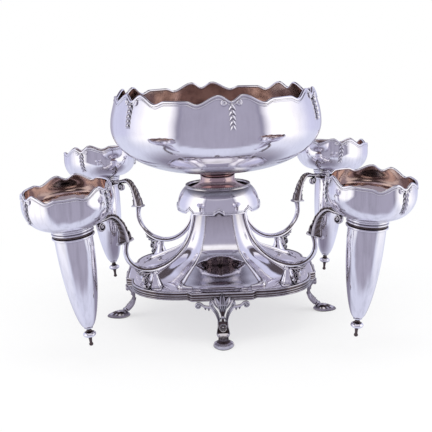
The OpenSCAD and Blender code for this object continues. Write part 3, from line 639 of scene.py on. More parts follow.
def pendant_mesh(name, wall, outside, length, wire):
    """Husk chains that hang from the notches of a rim and follow the vessel's outer line down"""
    count = bpy.context.scene.centrepiece_sizes.husk_count
    line = outside[::-1]
    run = np.concatenate(((0,), np.cumsum(np.linalg.norm(np.diff(line, axis=0), axis=1))))
    step = length * np.linspace(1.08, 0.9, count)
    at = 1.6 * wire - wall.share * rim_wave(0.0) + np.cumsum(step) - step / 2
    here, ahead = (np.column_stack([np.interp(at + by, run, line[:, k]) for k in (0, 1)])
                   for by in (0.0, 0.5))
    way = unit(ahead - here)
    lobes = np.radians(wall.turn + 360 * np.arange(wall.repeats) / wall.repeats)[:, None]
    dots = bpy.data.meshes.new(name)
    dots.from_pydata(around(here[:, 0], lobes, here[:, 1]).reshape(-1, 3) * MM, [], [])
    for label, (out, up) in (("along", way.T), ("facing", (-way[:, 1], way[:, 0]))):
        vectors = around(out, lobes, up)
        dots.attributes.new(label, "FLOAT_VECTOR", "POINT").data.foreach_set("vector", vectors.ravel())
    husks = np.tile(step * 1.3, wall.repeats) * MM
    dots.attributes.new("size", "FLOAT", "POINT").data.foreach_set("value", husks)
    return through(chain_tree(), dots, {"Leaf": husk_leaf(), "Finish": finish("silver_plate_polished")})


# The bowl

BOWL_LO, BOWL_HI = box_mm("bowl_shell")
BOWL_R = BOWL_HI[0]
BOWL_Z = BOWL_LO[2]
BOWL_FLAT_R = 26
BOWL_BULGE = 53.5
BOWL_RIM_R = 113.5
BOWL_RIM_Z = BOWL_Z + 86.5
BOWL_WALL = 1.4
# The lining is darker up to this height above the bowl's foot
BOWL_WELL = 3
NECK_R = 23.3
NECK_WALL = 2
# Height of the neck's flange, in the collar's mouth
FLANGE_Z = BOWL_Z - 20.4


def bowl_wall():
    return Wall(BOWL_R, BOWL_RIM_R, BOWL_Z + BOWL_BULGE, BOWL_RIM_Z, BOWL_WALL, repeats=6, turn_deg=-82,
                wave_share=1.0)


def bowl_line():
    """Outer line of the bowl from its foot to its rim"""
    under = arc(BOWL_R - BOWL_FLAT_R, BOWL_BULGE, -math.pi / 2, 0, 33) + (BOWL_FLAT_R, BOWL_Z + BOWL_BULGE)
    return np.vstack(((0, BOWL_Z), (BOWL_FLAT_R / 2, BOWL_Z), under, bowl_wall().line(24)))


def neck_line():
    """Line of the neck: a spigot, a flange in the collar's mouth, a waist and a ring under the bowl"""
    lo, hi = box_mm("bowl_neck")
    ring = hi[0] - NECK_R
    bore = NECK_R - NECK_WALL
    waist = np.array(((0, -0.6), (8.2, -0.2), (8.8, 0.5), (8.2, 1.2), (4.2, 2.0), (0.2, 3.8), (-2.6, 6.6),
                      (-3.6, 10), (-3.4, 14), (-2.0, 16.6))) + (NECK_R, FLANGE_Z)
    bead = arc(1.9 * ring, ring, 0.15 - math.pi / 2, math.pi / 2 - 0.15, 9) + (NECK_R, BOWL_Z - ring)
    inside = ((bore - 4, BOWL_Z), (bore - 4, FLANGE_Z + 2), (bore, FLANGE_Z), (bore, lo[2]))
    return np.vstack(((NECK_R, lo[2]), waist, (NECK_R, BOWL_Z - ring * 2.1), bead, inside))


class CENTREPIECE_OT_bowl(bpy.types.Operator):
    """Build the bowl with its rim moulding, husk pendants and neck"""
    bl_idname = "centrepiece.bowl"
    bl_label = "Bowl"

    def execute(self, context):
        sizes = context.scene.centrepiece_sizes
        wall = bowl_wall()
        wire = sizes.rim_wire / MM
        outside = bowl_line()
        shell = vessel_mesh("bowl_shell_silver", outside, wall, "silver_plate_bowl", "gilt_lining_worn",
                            "gilt_well_darkened", steps=288, deep_z=BOWL_Z + BOWL_WELL)
        piece("bowl_shell_silver", shell, "bowl", ["bowl_shell"])
        rim = rim_mesh("bowl_rim", wall, wire, steps=480)
        piece("bowl_rim_moulding", rim, "bowl", ["bowl_border"])
        husks = pendant_mesh("bowl_husks", wall, outside, sizes.husk_length / MM, wire)
        piece("bowl_husk_pendants", husks, "bowl", ["bowl_pendants"])
        neck = Shape()
        neck.lathe(neck_line(), steps=96, closed=True)
        neck = neck.mesh("neck", "silver_neck_coppery")
        piece("bowl_neck_silver", neck, "bowl", ["bowl_neck"])
        return {"FINISHED"}


# The vases, drawn with the middle of their ring at the origin

RING_H = 10
RING_OUT_R = 22.1
TUBE_R = 19.6
TUBE_L = 99
TUBE_END_R = 4
TUBE_LOW = -RING_H / 2 - TUBE_L
# The cup stands on a flange on top of the ring
CUP_Z = RING_H / 2
FLANGE_T = 2.5
CUP_R = 46.3
CUP_RIM_R = 45
CUP_BULGE = 27
CUP_H = 39.5
CUP_WALL = 1.2
FINIAL_L = 21.5
KNOB_R = 6.8
# Mouldings and husks on a vase are finer than on the bowl by these shares
VASE_WIRE = 0.8
VASE_HUSK = 0.9


def vase_place(corner):
    """The move from a vase's own frame, with its ring at the origin, to its place on the stand"""
    lo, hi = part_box("vase_ring_" + corner)
    centre = (Vector(lo) + Vector(hi)) / 2
    axis = next(Vector(j["axis"]) for j in frame["joints"] if j["child"] == "vase_" + corner).normalized()
    side = axis.cross(Vector((centre.x, centre.y, 0))).normalized()
    place = Matrix((side.cross(axis), side, axis)).transposed().to_4x4()
    place.translation = centre
    return place


def vase_wall():
    return Wall(CUP_R, CUP_RIM_R, CUP_Z + CUP_BULGE, CUP_Z + CUP_H, CUP_WALL, repeats=3, turn_deg=-8,
                wave_share=0.72)


def vase_line():
    """Outer line of a vase from its foot to its rim"""
    t = np.linspace(0, 1, 29) ** 1.7
    swell = np.sin(np.pi / 2 * t) ** 0.55
    tube = np.column_stack((mix(TUBE_END_R, TUBE_R, swell), mix(TUBE_LOW, -RING_H / 2, t)))
    flange = RING_OUT_R + 0.4
    seat = np.array(((TUBE_R, -0.2), (TUBE_R + 0.2, 0), (flange - 0.4, 0), (flange, 0.5), (flange, 1.6),
                     (flange - 1.1, 2.1))) + (0, CUP_Z)
    neck = flange + FLANGE_T / 4
    cup = arc(CUP_R - neck, CUP_BULGE - FLANGE_T, math.radians(-88), 0, 23) + (neck, CUP_Z + CUP_BULGE)
    return np.vstack(((0, TUBE_LOW), tube, seat, cup, vase_wall().line(14)))


def finial_mesh():
    """The turned finial: a flange under the tube, a flat knob on a stem and a small ball"""
    knob_z = TUBE_LOW - FINIAL_L * 0.38
    end = TUBE_LOW - FINIAL_L
    tip = KNOB_R * 0.3
    flange = np.array(((0, 0.4), (TUBE_END_R * 0.9, 0.4), (TUBE_END_R * 1.15, -0.3),
                       (TUBE_END_R * 1.15, -1.2))) + (0, TUBE_LOW)
    stem = curve(((TUBE_END_R, TUBE_LOW - 1.4), (1.9, TUBE_LOW - 2.6), (2.1, knob_z + 5.4),
                  (3, knob_z + 3.9)), 6)
    knob = arc(KNOB_R, KNOB_R * 0.52, 1.15, -1.15, 13) + (0, knob_z)
    tail = curve(((2.4, knob_z - 3.5), (1.6, knob_z - 4.6), (1.5, end + 5.5), (1.5, end + 2 * tip)), 5)
    ball = arc(tip * 1.1, tip, 0.9, -1.3, 9) + (0, end + tip)
    line = np.vstack((flange, stem, knob, tail, ball, (0, end)))
    made = Shape()
    # From the ball up: dark ball and tail, bright round the knob's middle, dark stem, bright flange; the dark
    # coat is painted shade
    middle = 1 + len(ball) + len(tail) + 3
    made.lathe(line[::-1], steps=40,
               coats=((0, 1), (middle, 0), (middle + 7, 1), (len(line) - len(flange), 0)))
    return made.mesh("vase_finial", "silver_plate_polished", "silver_cast_tarnished")


class CENTREPIECE_OT_vases(bpy.types.Operator):
    """Build the four vases with their rims, husk pendants and finials"""
    bl_idname = "centrepiece.vases"
    bl_label = "Vases"

    def execute(self, context):
        sizes = context.scene.centrepiece_sizes
        wall = vase_wall()
        wire = sizes.rim_wire / MM * VASE_WIRE
        outside = vase_line()
        shell = vessel_mesh("vase_shell_silver", outside, wall, "silver_plate_vase", "gilt_lining_bright",
                            "silver_inside_darkened", steps=132, deep_z=CUP_Z + FLANGE_T)
        rim = rim_mesh("vase_rim", wall, wire, steps=210)
        husks = pendant_mesh("vase_husks", wall, outside, sizes.husk_length / MM * VASE_HUSK, wire)
        finial = finial_mesh()
        for corner in CORNERS:
            place = vase_place(corner)
            for label, mesh, node, slot in (("shell", shell, "vase_shell_", "silver_plate"),
                                            ("rim_moulding", rim, "vase_border_", "cast_silver"),
                                            ("husk_pendants", husks, "vase_pendants_", "cast_silver"),
                                            ("finial_turned", finial, "vase_finial_", "cast_silver")):
                piece("vase_%s_%s" % (label, corner), mesh.copy(), "vase_" + corner, [node + corner],
                      place)
        return {"FINISHED"}


# The collar

COLLAR_LO, COLLAR_HI = box_mm("dome_collar")
COLLAR_Z, COLLAR_TOP = COLLAR_LO[2], COLLAR_HI[2]
COLLAR_WALL = 1.6
DOME_R = 47
MOUTH_R = 36.2
PED_TOP = box_mm("pedestal")[1][2]
# The well's floor joins the dome to the bowl's socket, and lies on the pedestal
WELL_FLOOR = 2
SOCKET_R = NECK_R + 2.4
ARCHES = 8
# Half width of a pointed arch, as a share of one repeat
ARCH_SHARE = 0.16
ARCH_FADE = 7
# How far the collar's edge leans out as it rises in an arch
ARCH_LEAN = 0.08


def ogee_wave(u):
    """Height of the collar's lower edge: a small pointed arch at 0 and a plain edge between"""
    w = abs(u % 1)
    w = min(w, 1 - w) / ARCH_SHARE
    return float(np.interp(w, (0, 0.12, 0.35, 0.7, 0.92, 1), (1, 0.78, 0.62, 0.42, 0.16, 0)))


def dome_mesh(arch):
    """The domed shell with its dark well, and pointed arches of a height along its lower edge"""
    shoulder = mix(MOUTH_R, DOME_R, 0.65)
    dome = curve(((DOME_R, COLLAR_Z), (DOME_R + 1.6, COLLAR_Z + 10.6), (shoulder, COLLAR_TOP - 4),
                  (MOUTH_R, COLLAR_TOP)), 40)
    inner = inset(dome, COLLAR_WALL)
    inner[-1, 1] = COLLAR_TOP
    lip = (MOUTH_R - COLLAR_WALL * 0.4, COLLAR_TOP + 0.3)
    floor_z = PED_TOP + WELL_FLOOR
    floor_at = np.searchsorted(inner[:, 1], floor_z)
    floor_r = inner[floor_at, 0]
    well = np.vstack((inner[floor_at:][::-1], (floor_r - 0.3, floor_z), (SOCKET_R, floor_z),
                      (SOCKET_R, PED_TOP), (floor_r, PED_TOP)))
    below = inner[:floor_at][::-1]
    lined = len(dome) + 1
    shell = Shape()
    shell.lathe(np.vstack((dome, lip, well, below[below[:, 1] < PED_TOP])), steps=320,
                coats=((lined, 1), (lined + len(well) - 2, 2)), closed=True)
    return through(wavy_tree("Collar arches", ogee_wave), shell.mesh("collar"), {
        "Repeats": ARCHES, "Turn": 0.0, "Height": arch, "Still at": (COLLAR_Z + ARCH_FADE) * MM,
        "Edge at": COLLAR_Z * MM, "Lean": ARCH_LEAN, "Outside": finish("silver_plate_collar"),
        "Lining": finish("gilt_well_darkened"), "Depth": finish("silver_cast_tarnished")})


def arch_lines(arch):
    """Two mouldings along the collar's lower edge, a little stouter on the arches"""
    u = np.linspace(0, ARCHES, 960, endpoint=False)
    rise = np.array([ogee_wave(v) for v in u]) * arch / MM
    stouter = 1 + 0.25 * (rise > 0.3)
    a = np.radians(360 * u / ARCHES)
    return [(around(DOME_R + out + ARCH_LEAN * rise, a, COLLAR_Z + up + rise), thick * stouter, True)
            for up, out, thick in ((0.0, 0.1, 0.9), (2.3, 0.25, 0.5))]


class CENTREPIECE_OT_collar(bpy.types.Operator):
    """Build the domed collar with its pointed arches, pearl ring and dark well"""
    bl_idname = "centrepiece.collar"
    bl_label = "Collar"

    def execute(self, context):
        sizes = context.scene.centrepiece_sizes
        piece("collar_dome_silver", dome_mesh(sizes.arch_height), "stand", ["dome_collar"])
        edge = moulding_mesh("collar_edge", arch_lines(sizes.arch_height), "silver_plate_polished", sides=8)
        piece("collar_arch_moulding", edge, "stand", [])
        seat_r = MOUTH_R - 0.2
        pearl_z = COLLAR_TOP + 1.1
        seat = np.array(((-1.6, -0.2), (-1.2, 1.1), (0.6, 1.1), (1.7, -0.5), (1.9, -1.6), (0.4, -1.2)))
        ring = Shape()
        ring.lathe(seat + (seat_r, COLLAR_TOP), steps=160, closed=True)
        pearls = through(bead_tree(), ring.mesh("pearl_seat"), {
            "Count": sizes.bead_count, "Ring radius": (seat_r + 0.5) * MM, "Height": pearl_z * MM,
            "Bead radius": sizes.bead_radius, "Finish": finish("silver_cast_chased")})
        piece("collar_pearl_ring", pearls, "stand", ["dome_bead_ring"])
        return {"FINISHED"}


# The pedestal

PLATE_LO, PLATE_HI = box_mm("plateau")
PLATE_Z = PLATE_HI[2]
PED_TOP_S = 25
PED_BASE_S = 93
PED_WALL = 1.6
# Half the angle that a panel takes up, in degrees; a flute fills the rest of the quarter
PANEL_HALF = 30
FLUTE_ANGLE = 90 - 2 * PANEL_HALF
# Depth of a flute, as a share of its distance from the axis
FLUTE_SHARE = 0.1
# The ridges lie just inside the panels' edges
RIDGE_AT = 29.2


def pedestal_line(steps):
    """Half width of a panel and height, from its run-out on the plateau up to the collar"""
    flare = np.array(((PED_BASE_S, 0.1), (85, 1.3), (76, 5.4), (68, 10.0), (58, 15.4), (47, 22), (37.6, 32),
                      (31, 48), (27.2, 66))) + (0, PLATE_Z)
    return through_points(np.vstack((flare, (PED_TOP_S, PED_TOP))), steps)


def pedestal_at(s, degrees):
    """How far the pedestal's skin lies from its axis, at a panel half width and an angle from the panel's
    middle: the panels bow out most above their foot, and the flutes are hollow"""
    a = np.abs((np.asarray(degrees, float) + 45) % 90 - 45)
    on_panel = np.minimum(a, PANEL_HALF)
    bow = s * (0.1 + 0.06 * ease((s - 36) / 24) - 0.1 * ease((s - 78) / 15))
    panel = s / np.cos(np.radians(on_panel)) + bow * (1 - (on_panel / PANEL_HALF) ** 2)
    across = (np.maximum(a, PANEL_HALF) - PANEL_HALF) / FLUTE_ANGLE
    flute = s / math.cos(math.radians(PANEL_HALF)) * (1 - FLUTE_SHARE * np.sin(np.pi * across))
    return np.where(a <= PANEL_HALF, panel, flute)


def ridge_lines(ridge):
    """A raised edge runs down each side of a panel, swells, and turns in at the panel's lower corner"""
    fine = pedestal_line(40)[::-1]
    hook = ((81.0, 28.7), (83.8, 27), (84.5, 24.2), (84.8, 19.5))
    s, degrees = through_points([(s, RIDGE_AT) for s in (PED_TOP_S, 40, 60, 75)] + list(hook), 16).T
    z = np.interp(s, fine[:, 0], fine[:, 1])
    swell = ridge * np.interp(s, (PED_TOP_S, 40, 66, 82, 84.4, 84.8), (0.65, 1.0, 3.0, 4.6, 4.2, 1.8))
    out = pedestal_at(s, degrees) + 0.2 * swell
    return [(around(out, np.radians(90 * k + hand * degrees), z), swell, False)
            for k in range(4) for hand in HANDS]


class CENTREPIECE_OT_pedestal(bpy.types.Operator):
    """Build the waisted pedestal with four panels, hollow corners and raised panel edges"""
    bl_idname = "centrepiece.pedestal"
    bl_label = "Pedestal"

    def execute(self, context):
        flute = np.linspace(PANEL_HALF, PANEL_HALF + FLUTE_ANGLE, 13)[1:-1]
        quarter = np.concatenate((np.linspace(-PANEL_HALF, PANEL_HALF, 21), flute))
        degrees = np.concatenate([quarter + 90 * k for k in range(4)])
        line = pedestal_line(8)
        line = np.vstack((line[:1] + (0.4, -0.6), line))
        outer, inner = ([around(pedestal_at(s, degrees) - by, np.radians(degrees), z) for s, z in line]
                        for by in (0, PED_WALL))
        body = Shape()
        body.grid(outer + inner[::-1], closed=True)
        body = body.mesh("pedestal", "silver_plate_pedestal", sharp=50)
        piece("pedestal_silver", body, "stand", ["pedestal"])
        lines = ridge_lines(context.scene.centrepiece_sizes.ridge_radius / MM)
        ridges = moulding_mesh("panel_edges", lines, "silver_plate_pedestal")
        piece("pedestal_panel_ridges", ridges, "stand", [])
        return {"FINISHED"}


# The plateau

PLATEAU_HALF = 99.5
CORNER_R = 56
# A stretch of each side is set forward, with a soft step at its ends
BREAK_HALF = 35
BREAK_OUT = 7.5
BREAK_SOFT = 7
BORDER_LOW = box_mm("plateau_border")[0][2]


def plateau_outline(grow, z):
    """The plateau's outline at a height: four rounded corners and a stretch of each side set forward"""
    c = PLATEAU_HALF - CORNER_R
    y = np.concatenate(((-c, -40), np.linspace(-38.5, -31.5, 14), np.linspace(-29, 0, 9)))
    y = np.concatenate((y, -y[-2::-1]))
    forward = ease((BREAK_HALF + BREAK_SOFT / 2 - np.abs(y)) / BREAK_SOFT)
    side = np.column_stack((PLATEAU_HALF + grow + BREAK_OUT * forward, y, np.full(len(y), z)))
    corner = around(CORNER_R + grow, np.radians(np.arange(3, 90, 3)), z) + (c, c, 0)
    return np.vstack([turn(np.vstack((side, corner)), 90 * k) for k in range(4)])


class CENTREPIECE_OT_plateau(bpy.types.Operator):
    """Build the plateau with its reeded border"""
    bl_idname = "centrepiece.plateau"
    bl_label = "Plateau"

    def execute(self, context):
        top, low = PLATE_Z, BORDER_LOW
        rows = [plateau_outline(grow, z) for grow, z in (
            (-0.4, PLATE_LO[2]), (-0.4, top - 0.25), (-0.9, top), (-4, top))]
        rows += [rows[-1] * (share, share, 1) for share in (0.8, 0.5)]
        plate = Shape()
        plate.grid(rows)
        plate = plate.mesh("plateau", "silver_plate_polished", sharp=30)
        piece("plateau_silver", plate, "stand", ["plateau"])
        band = Shape()
        band.grid([plateau_outline(grow, z) for grow, z in (
            (-1.2, low), (1.2, low), (1.1, low + 3), (1.2, low + 4.5), (1.1, low + 6), (0.9, top - 0.3),
            (0.2, top), (-1.2, top))], closed=True)
        band = band.mesh("border", "silver_cast_tarnished")
        piece("plateau_border_band", band, "stand", ["plateau_border"])
        reed = context.scene.centrepiece_sizes.reed_radius / MM
        lines = [(plateau_outline(grow, z), reed * share, True) for grow, z, share in (
            (0.8, top - 0.6, 1.0), (1.0, low + 5.2, 0.6), (1.0, low + 2.7, 0.5), (0.8, low + 0.7, 0.7))]
        reeds = moulding_mesh("reeds", lines, "silver_cast_chased")
        piece("plateau_reeds", reeds, "stand", [])
        return {"FINISHED"}


# The posts

POST_REACH = 103
POST_H = 18.5


def post_shape():
    """A turned bell on a ring, with a small moulding under its top"""
    ring = ((0, 0), (9.5, 0), (9.8, 0.5), (9.5, 1.2), (8.7, 1.6))
    bell = through_points(((8.6, 2.3), (7.7, 4.0), (6.6, 6.2), (5.4, 8.8), (4.4, 11.6), (3.7, 14.6)), 4)
    top = ((4.0, 15.2), (4.3, 16.0), (4.0, 16.8), (3.3, 17.4), (3.2, POST_H), (0, POST_H))
    made = Shape()
    made.lathe(np.vstack((ring, bell, top)), steps=48)
    return made.moved(np.add, (POST_REACH, 0, PLATE_Z))


def bracket_shape():
    """Scrolls beside a post, with a beaded leaf under the arm, drawn from the foot of the post"""
    curl = spiral((14.5, 9.5), 4.6, 1.3, 250, -1.35, 30)
    low = spiral((14, 3.6), 3.2, 1.0, 120, 1.2, 24)
    stem = through_points(((8.5, 1.6), (11, 2.2), (13.2, 4.4), curl[0]), 6)
    tail = through_points((curl[0] + (4.2, 5.2), curl[0] + (3.2, 8.4), (13, 15.6), (7, 18.8)), 6)
    leaf = through_points(((7, 5), (9.6, 9), (9.2, 13.5), (5.6, 18.4)), 6)
    under = through_points(((4, 17.8), (12, 17.2), (20, 19.2), (27, 24.6)), 8)
    made = Shape()
    for path, thick, wide in ((np.vstack((stem[:-1], curl)), 1.25, 2.6), (low, 1.0, 2.2), (tail, 1.2, 2.4),
                              (leaf, 1.3, 2.4), (under, 1.5, 2.5)):
        swell = spread(len(path), (0, 0.2, 0.7, 1), (0.7, 1, 0.9, 0.6))
        made.sweep(upright(path), round_section(10), thick * swell, wide * swell)
    made.ball((curl[-1, 0], 0, curl[-1, 1]), 1.5, (1, 1.7, 1))
    for out, up in ((16.5, 16.4), (20.5, 17.6), (24.0, 20.4)):
        made.ball((out, 0, up), 1.7, (1, 1.4, 1))
    return made.moved(np.add, (POST_REACH, 0, PLATE_Z))


class CENTREPIECE_OT_posts(bpy.types.Operator):
    """Build the four bell-shaped posts with their scrolled brackets"""
    bl_idname = "centrepiece.posts"
    bl_label = "Posts"

    def execute(self, context):
        post, bracket = post_shape(), bracket_shape()
        for k, corner in enumerate(CORNERS):
            turned = post.moved(on_diagonal, k).mesh("post", "silver_plate_polished")
            piece("post_turned_" + corner, turned, "stand", ["post_" + corner])
            scroll = bracket.moved(on_diagonal, k).mesh("bracket", "silver_cast_chased")
            piece("post_scroll_" + corner, scroll, "stand", ["post_leaf_" + corner])
        return {"FINISHED"}


# The arms, their leaves and the vase rings

ARM_IN = 40
ARM_OUT = 141
ARM_LOW_Z = PLATE_Z + 20.6
ARM_TOP_Z = PLATE_Z + 58
ARM_START_Z = PED_TOP + 0.4
RING_Z = 136
LEAF_REACH = 189
LEAF_RISE = 27


def arm_path():
    """The arm's line in its upright plane: down from the collar, under, and up to the leaf"""
    inner = curve(((ARM_IN, ARM_START_Z), (ARM_IN, mix(ARM_LOW_Z, ARM_START_Z, 0.42)),
                   (mix(ARM_IN, POST_REACH, 0.48), ARM_LOW_Z), (POST_REACH, ARM_LOW_Z)), 44)
    outer = curve(((POST_REACH, ARM_LOW_Z), (mix(POST_REACH, ARM_OUT, 0.66), ARM_LOW_Z),
                   (ARM_OUT + 9, mix(ARM_LOW_Z, ARM_TOP_Z, 0.45)), (ARM_OUT, ARM_TOP_Z)), 40)
    return np.vstack((inner, outer[1:]))


def arm_shape():
    """A reeded bar: two half rounds with a dark groove between them on each flat side"""
    path = arm_path()
    t = circle(28)
    groove = 1 - 0.5 * np.exp(-((np.abs(np.sin(t)) - 1) / 0.11) ** 2)
    bar = np.column_stack((np.cos(t), np.sin(t) * groove))
    swell = spread(len(path), (0, 0.08, 0.5, 0.56, 0.62, 0.92, 1), (1.15, 0.9, 1, 1.12, 1, 0.95, 1.2))
    made = Shape()
    made.sweep(upright(path), bar, 2.9 * swell, 3.1 * swell)
    for hand in HANDS:
        made.sweep(upright(path, hand * 1.75 * swell), round_section(6), 0.65 * swell, 0.3 * swell, coat=1)
    return made


def leaf_path():
    """The leaf's line from the arm's head over to the vase ring"""
    arch = np.array((mix(ARM_OUT, LEAF_REACH, 0.52), RING_Z + 6.8))
    first = curve(((ARM_OUT + 1.5, ARM_TOP_Z), (ARM_OUT + 4, ARM_TOP_Z + LEAF_RISE * 0.7),
                   arch + LEAF_RISE * np.array((-0.4, 0.11)), arch), 26)
    second = curve((arch, arch + LEAF_RISE * np.array((0.3, -0.08)), (LEAF_REACH - 8, RING_Z + 4.5),
                    (LEAF_REACH, RING_Z + 2)), 16)
    return np.vstack((first, second[1:]))


def leaf_shape():
    """An acanthus leaf on a stalk, with ribs, veins, a stepped foot and a volute under its end"""
    line = leaf_path()
    share = np.linspace(0, 1, len(line))
    # Serrated lobes swell the leaf towards its foot and fade out along the stalk
    fade = np.interp(share, (0, 0.1, 0.6, 0.8), (0.3, 1, 0.6, 0))
    lobes = 1 + 0.26 * np.abs(np.sin(np.pi * 5 * share ** 0.8)) * fade
    deep = lobes * np.interp(share, (0, 0.08, 0.2, 0.42, 0.6, 0.8, 1), (9.4, 7.2, 4.9, 3.4, 2.5, 1.9, 1.8))
    wide = np.interp(share, (0, 0.1, 0.5, 1), (4.5, 4.5, 3.4, 2.2))
    # A quarter of the section, from the leaf's edge to its middle rib, mirrored round
    quarter = np.array(((1, 0), (0.8, 0.32), (0.42, 0.5), (0.24, 0.92), (0, 1)))
    half = np.vstack((quarter, quarter[-2::-1] * (-1, 1)))
    made = Shape()
    made.sweep(upright(line), np.vstack((half, half[-2:0:-1] * (1, -1))), deep, wide, coat=1)
    way = unit(np.gradient(line, axis=0))
    across = np.column_stack((way[:, 1], -way[:, 0]))
    out = np.linspace(0.15, 0.85, 4)
    for hand in HANDS:
        made.sweep(upright(line, hand * wide * 0.95), round_section(8), 0.3 + 0.2 * deep, 0.5)
        for edge in HANDS:
            # Dark veins slant from the middle rib to the edge
            for first in range(1, 30, 3):
                at = np.arange(first, first + len(out))
                vein = line[at] + edge * (out * deep[at])[:, None] * across[at]
                lift = np.interp(out, (0.15, 0.42, 0.8), (0.9, 0.56, 0.38)) * wide[at]
                made.sweep(upright(vein, hand * lift), round_section(6), 0.55, 0.5, coat=2)
            rim = line + edge * (0.86 * deep)[:, None] * across
            made.sweep(upright(rim, hand * 0.2 * wide), round_section(6), 0.55, 0.5)
    middle = np.array((LEAF_REACH - 15.5, RING_Z - 1.6))
    volute = spiral(middle, 5.0, 1.4, 75, -1.4, 34)
    stalk = ((LEAF_REACH - 5, RING_Z + 4.2), (LEAF_REACH - 9.6, RING_Z + 4.6), volute[0])
    volute = np.vstack((through_points(stalk, 5)[:-1], volute))
    thick = np.linspace(1.5, 1.1, len(volute))
    made.sweep(upright(volute), round_section(10), thick, 2.2 * thick)
    made.ball((middle[0], 0, middle[1]), 2.4, (1, 1.5, 1))
    # The stepped foot of the leaf, with a lip towards the bowl
    foot = np.array(((-8.4, 2.6), (-6.2, 0.8), (0, 0.2), (8.6, -0.6), (12.6, -2.2))) + (ARM_OUT, ARM_TOP_Z)
    foot = through_points(foot, 5)
    thick, broad = (spread(len(foot), (0, 0.2, 0.8, 1), sizes)
                    for sizes in ((0.8, 1.6, 1.6, 0.8), (2.2, 4.2, 4.2, 2.2)))
    made.sweep(upright(foot), round_section(10), thick, broad)
    return made


def ring_shape():
    """A vase ring: three reeds of different size, with a dark groove over the lowest"""
    low, inner = -RING_H / 2, RING_OUT_R - 2.2
    line = [(inner, low)]
    for middle, r in ((low + 1.0, 0.95), (0.7, 0.75), (-low - 1.2, 1.15)):
        line += list(arc(r * 0.8, r, -1.4, 1.4, 8) + (RING_OUT_R - 1.0, middle))
        line += [(RING_OUT_R - 1.75, middle + r + 0.3)]
    line[-1] = (inner, -low)
    made = Shape()
    made.lathe(line, steps=96, coats=((8, 1), (10, 0)), closed=True)
    return made


class CENTREPIECE_OT_arms(bpy.types.Operator):
    """Build the four arms, their leaves and the rings that hold the vases"""
    bl_idname = "centrepiece.arms"
    bl_label = "Arms and rings"

    def execute(self, context):
        arm, leaf, ring = arm_shape(), leaf_shape(), ring_shape()
        for k, corner in enumerate(CORNERS):
            bar = arm.moved(on_diagonal, k).mesh("arm", "silver_plate_polished", "silver_cast_tarnished")
            piece("arm_reeded_" + corner, bar, "stand", ["arm_" + corner])
            carved = leaf.moved(on_diagonal, k).mesh(
                "leaf", "silver_cast_chased", "silver_cast_dulled", "silver_cast_tarnished")
            piece("leaf_chased_" + corner, carved, "stand", ["arm_leaf_" + corner])
            band = ring.mesh("ring", "silver_plate_polished", "silver_cast_tarnished")
            piece("vase_ring_reeded_" + corner, band, "stand", ["vase_ring_" + corner],
                  vase_place(corner))
        return {"FINISHED"}


# The feet

# How far out the middle of a foot's leg lies at each height
LEG_LINE = through_points(((117.5, -1), (116.6, 4.5), (112.5, 8.5), (106.0, 15), (103.4, 21), (103.8, 28),
                           (106.8, 36), (108.4, 43), (108.4, 50), (108.4, 60)), 8)
ROSETTE_Z = 14.8
CURL_AT = (25.6, 41.6)
WING_Z = 40.4
PAD_BACK = 109.0
PAD_HALF = 11.2
PAD_H = 6.4


def on_leg(points):
    """Carry flat relief, given as sideways, proud and up, onto the curved front of a foot"""
    side, proud, z = points.T
    x = np.interp(z, LEG_LINE[:, 1], LEG_LINE[:, 0])
    slope = np.interp(z, LEG_LINE[:, 1], np.gradient(LEG_LINE[:, 0], LEG_LINE[:, 1]))
    stretch = np.sqrt(1 + slope ** 2)
    return np.column_stack((x + proud / stretch, side, z - proud * slope / stretch))


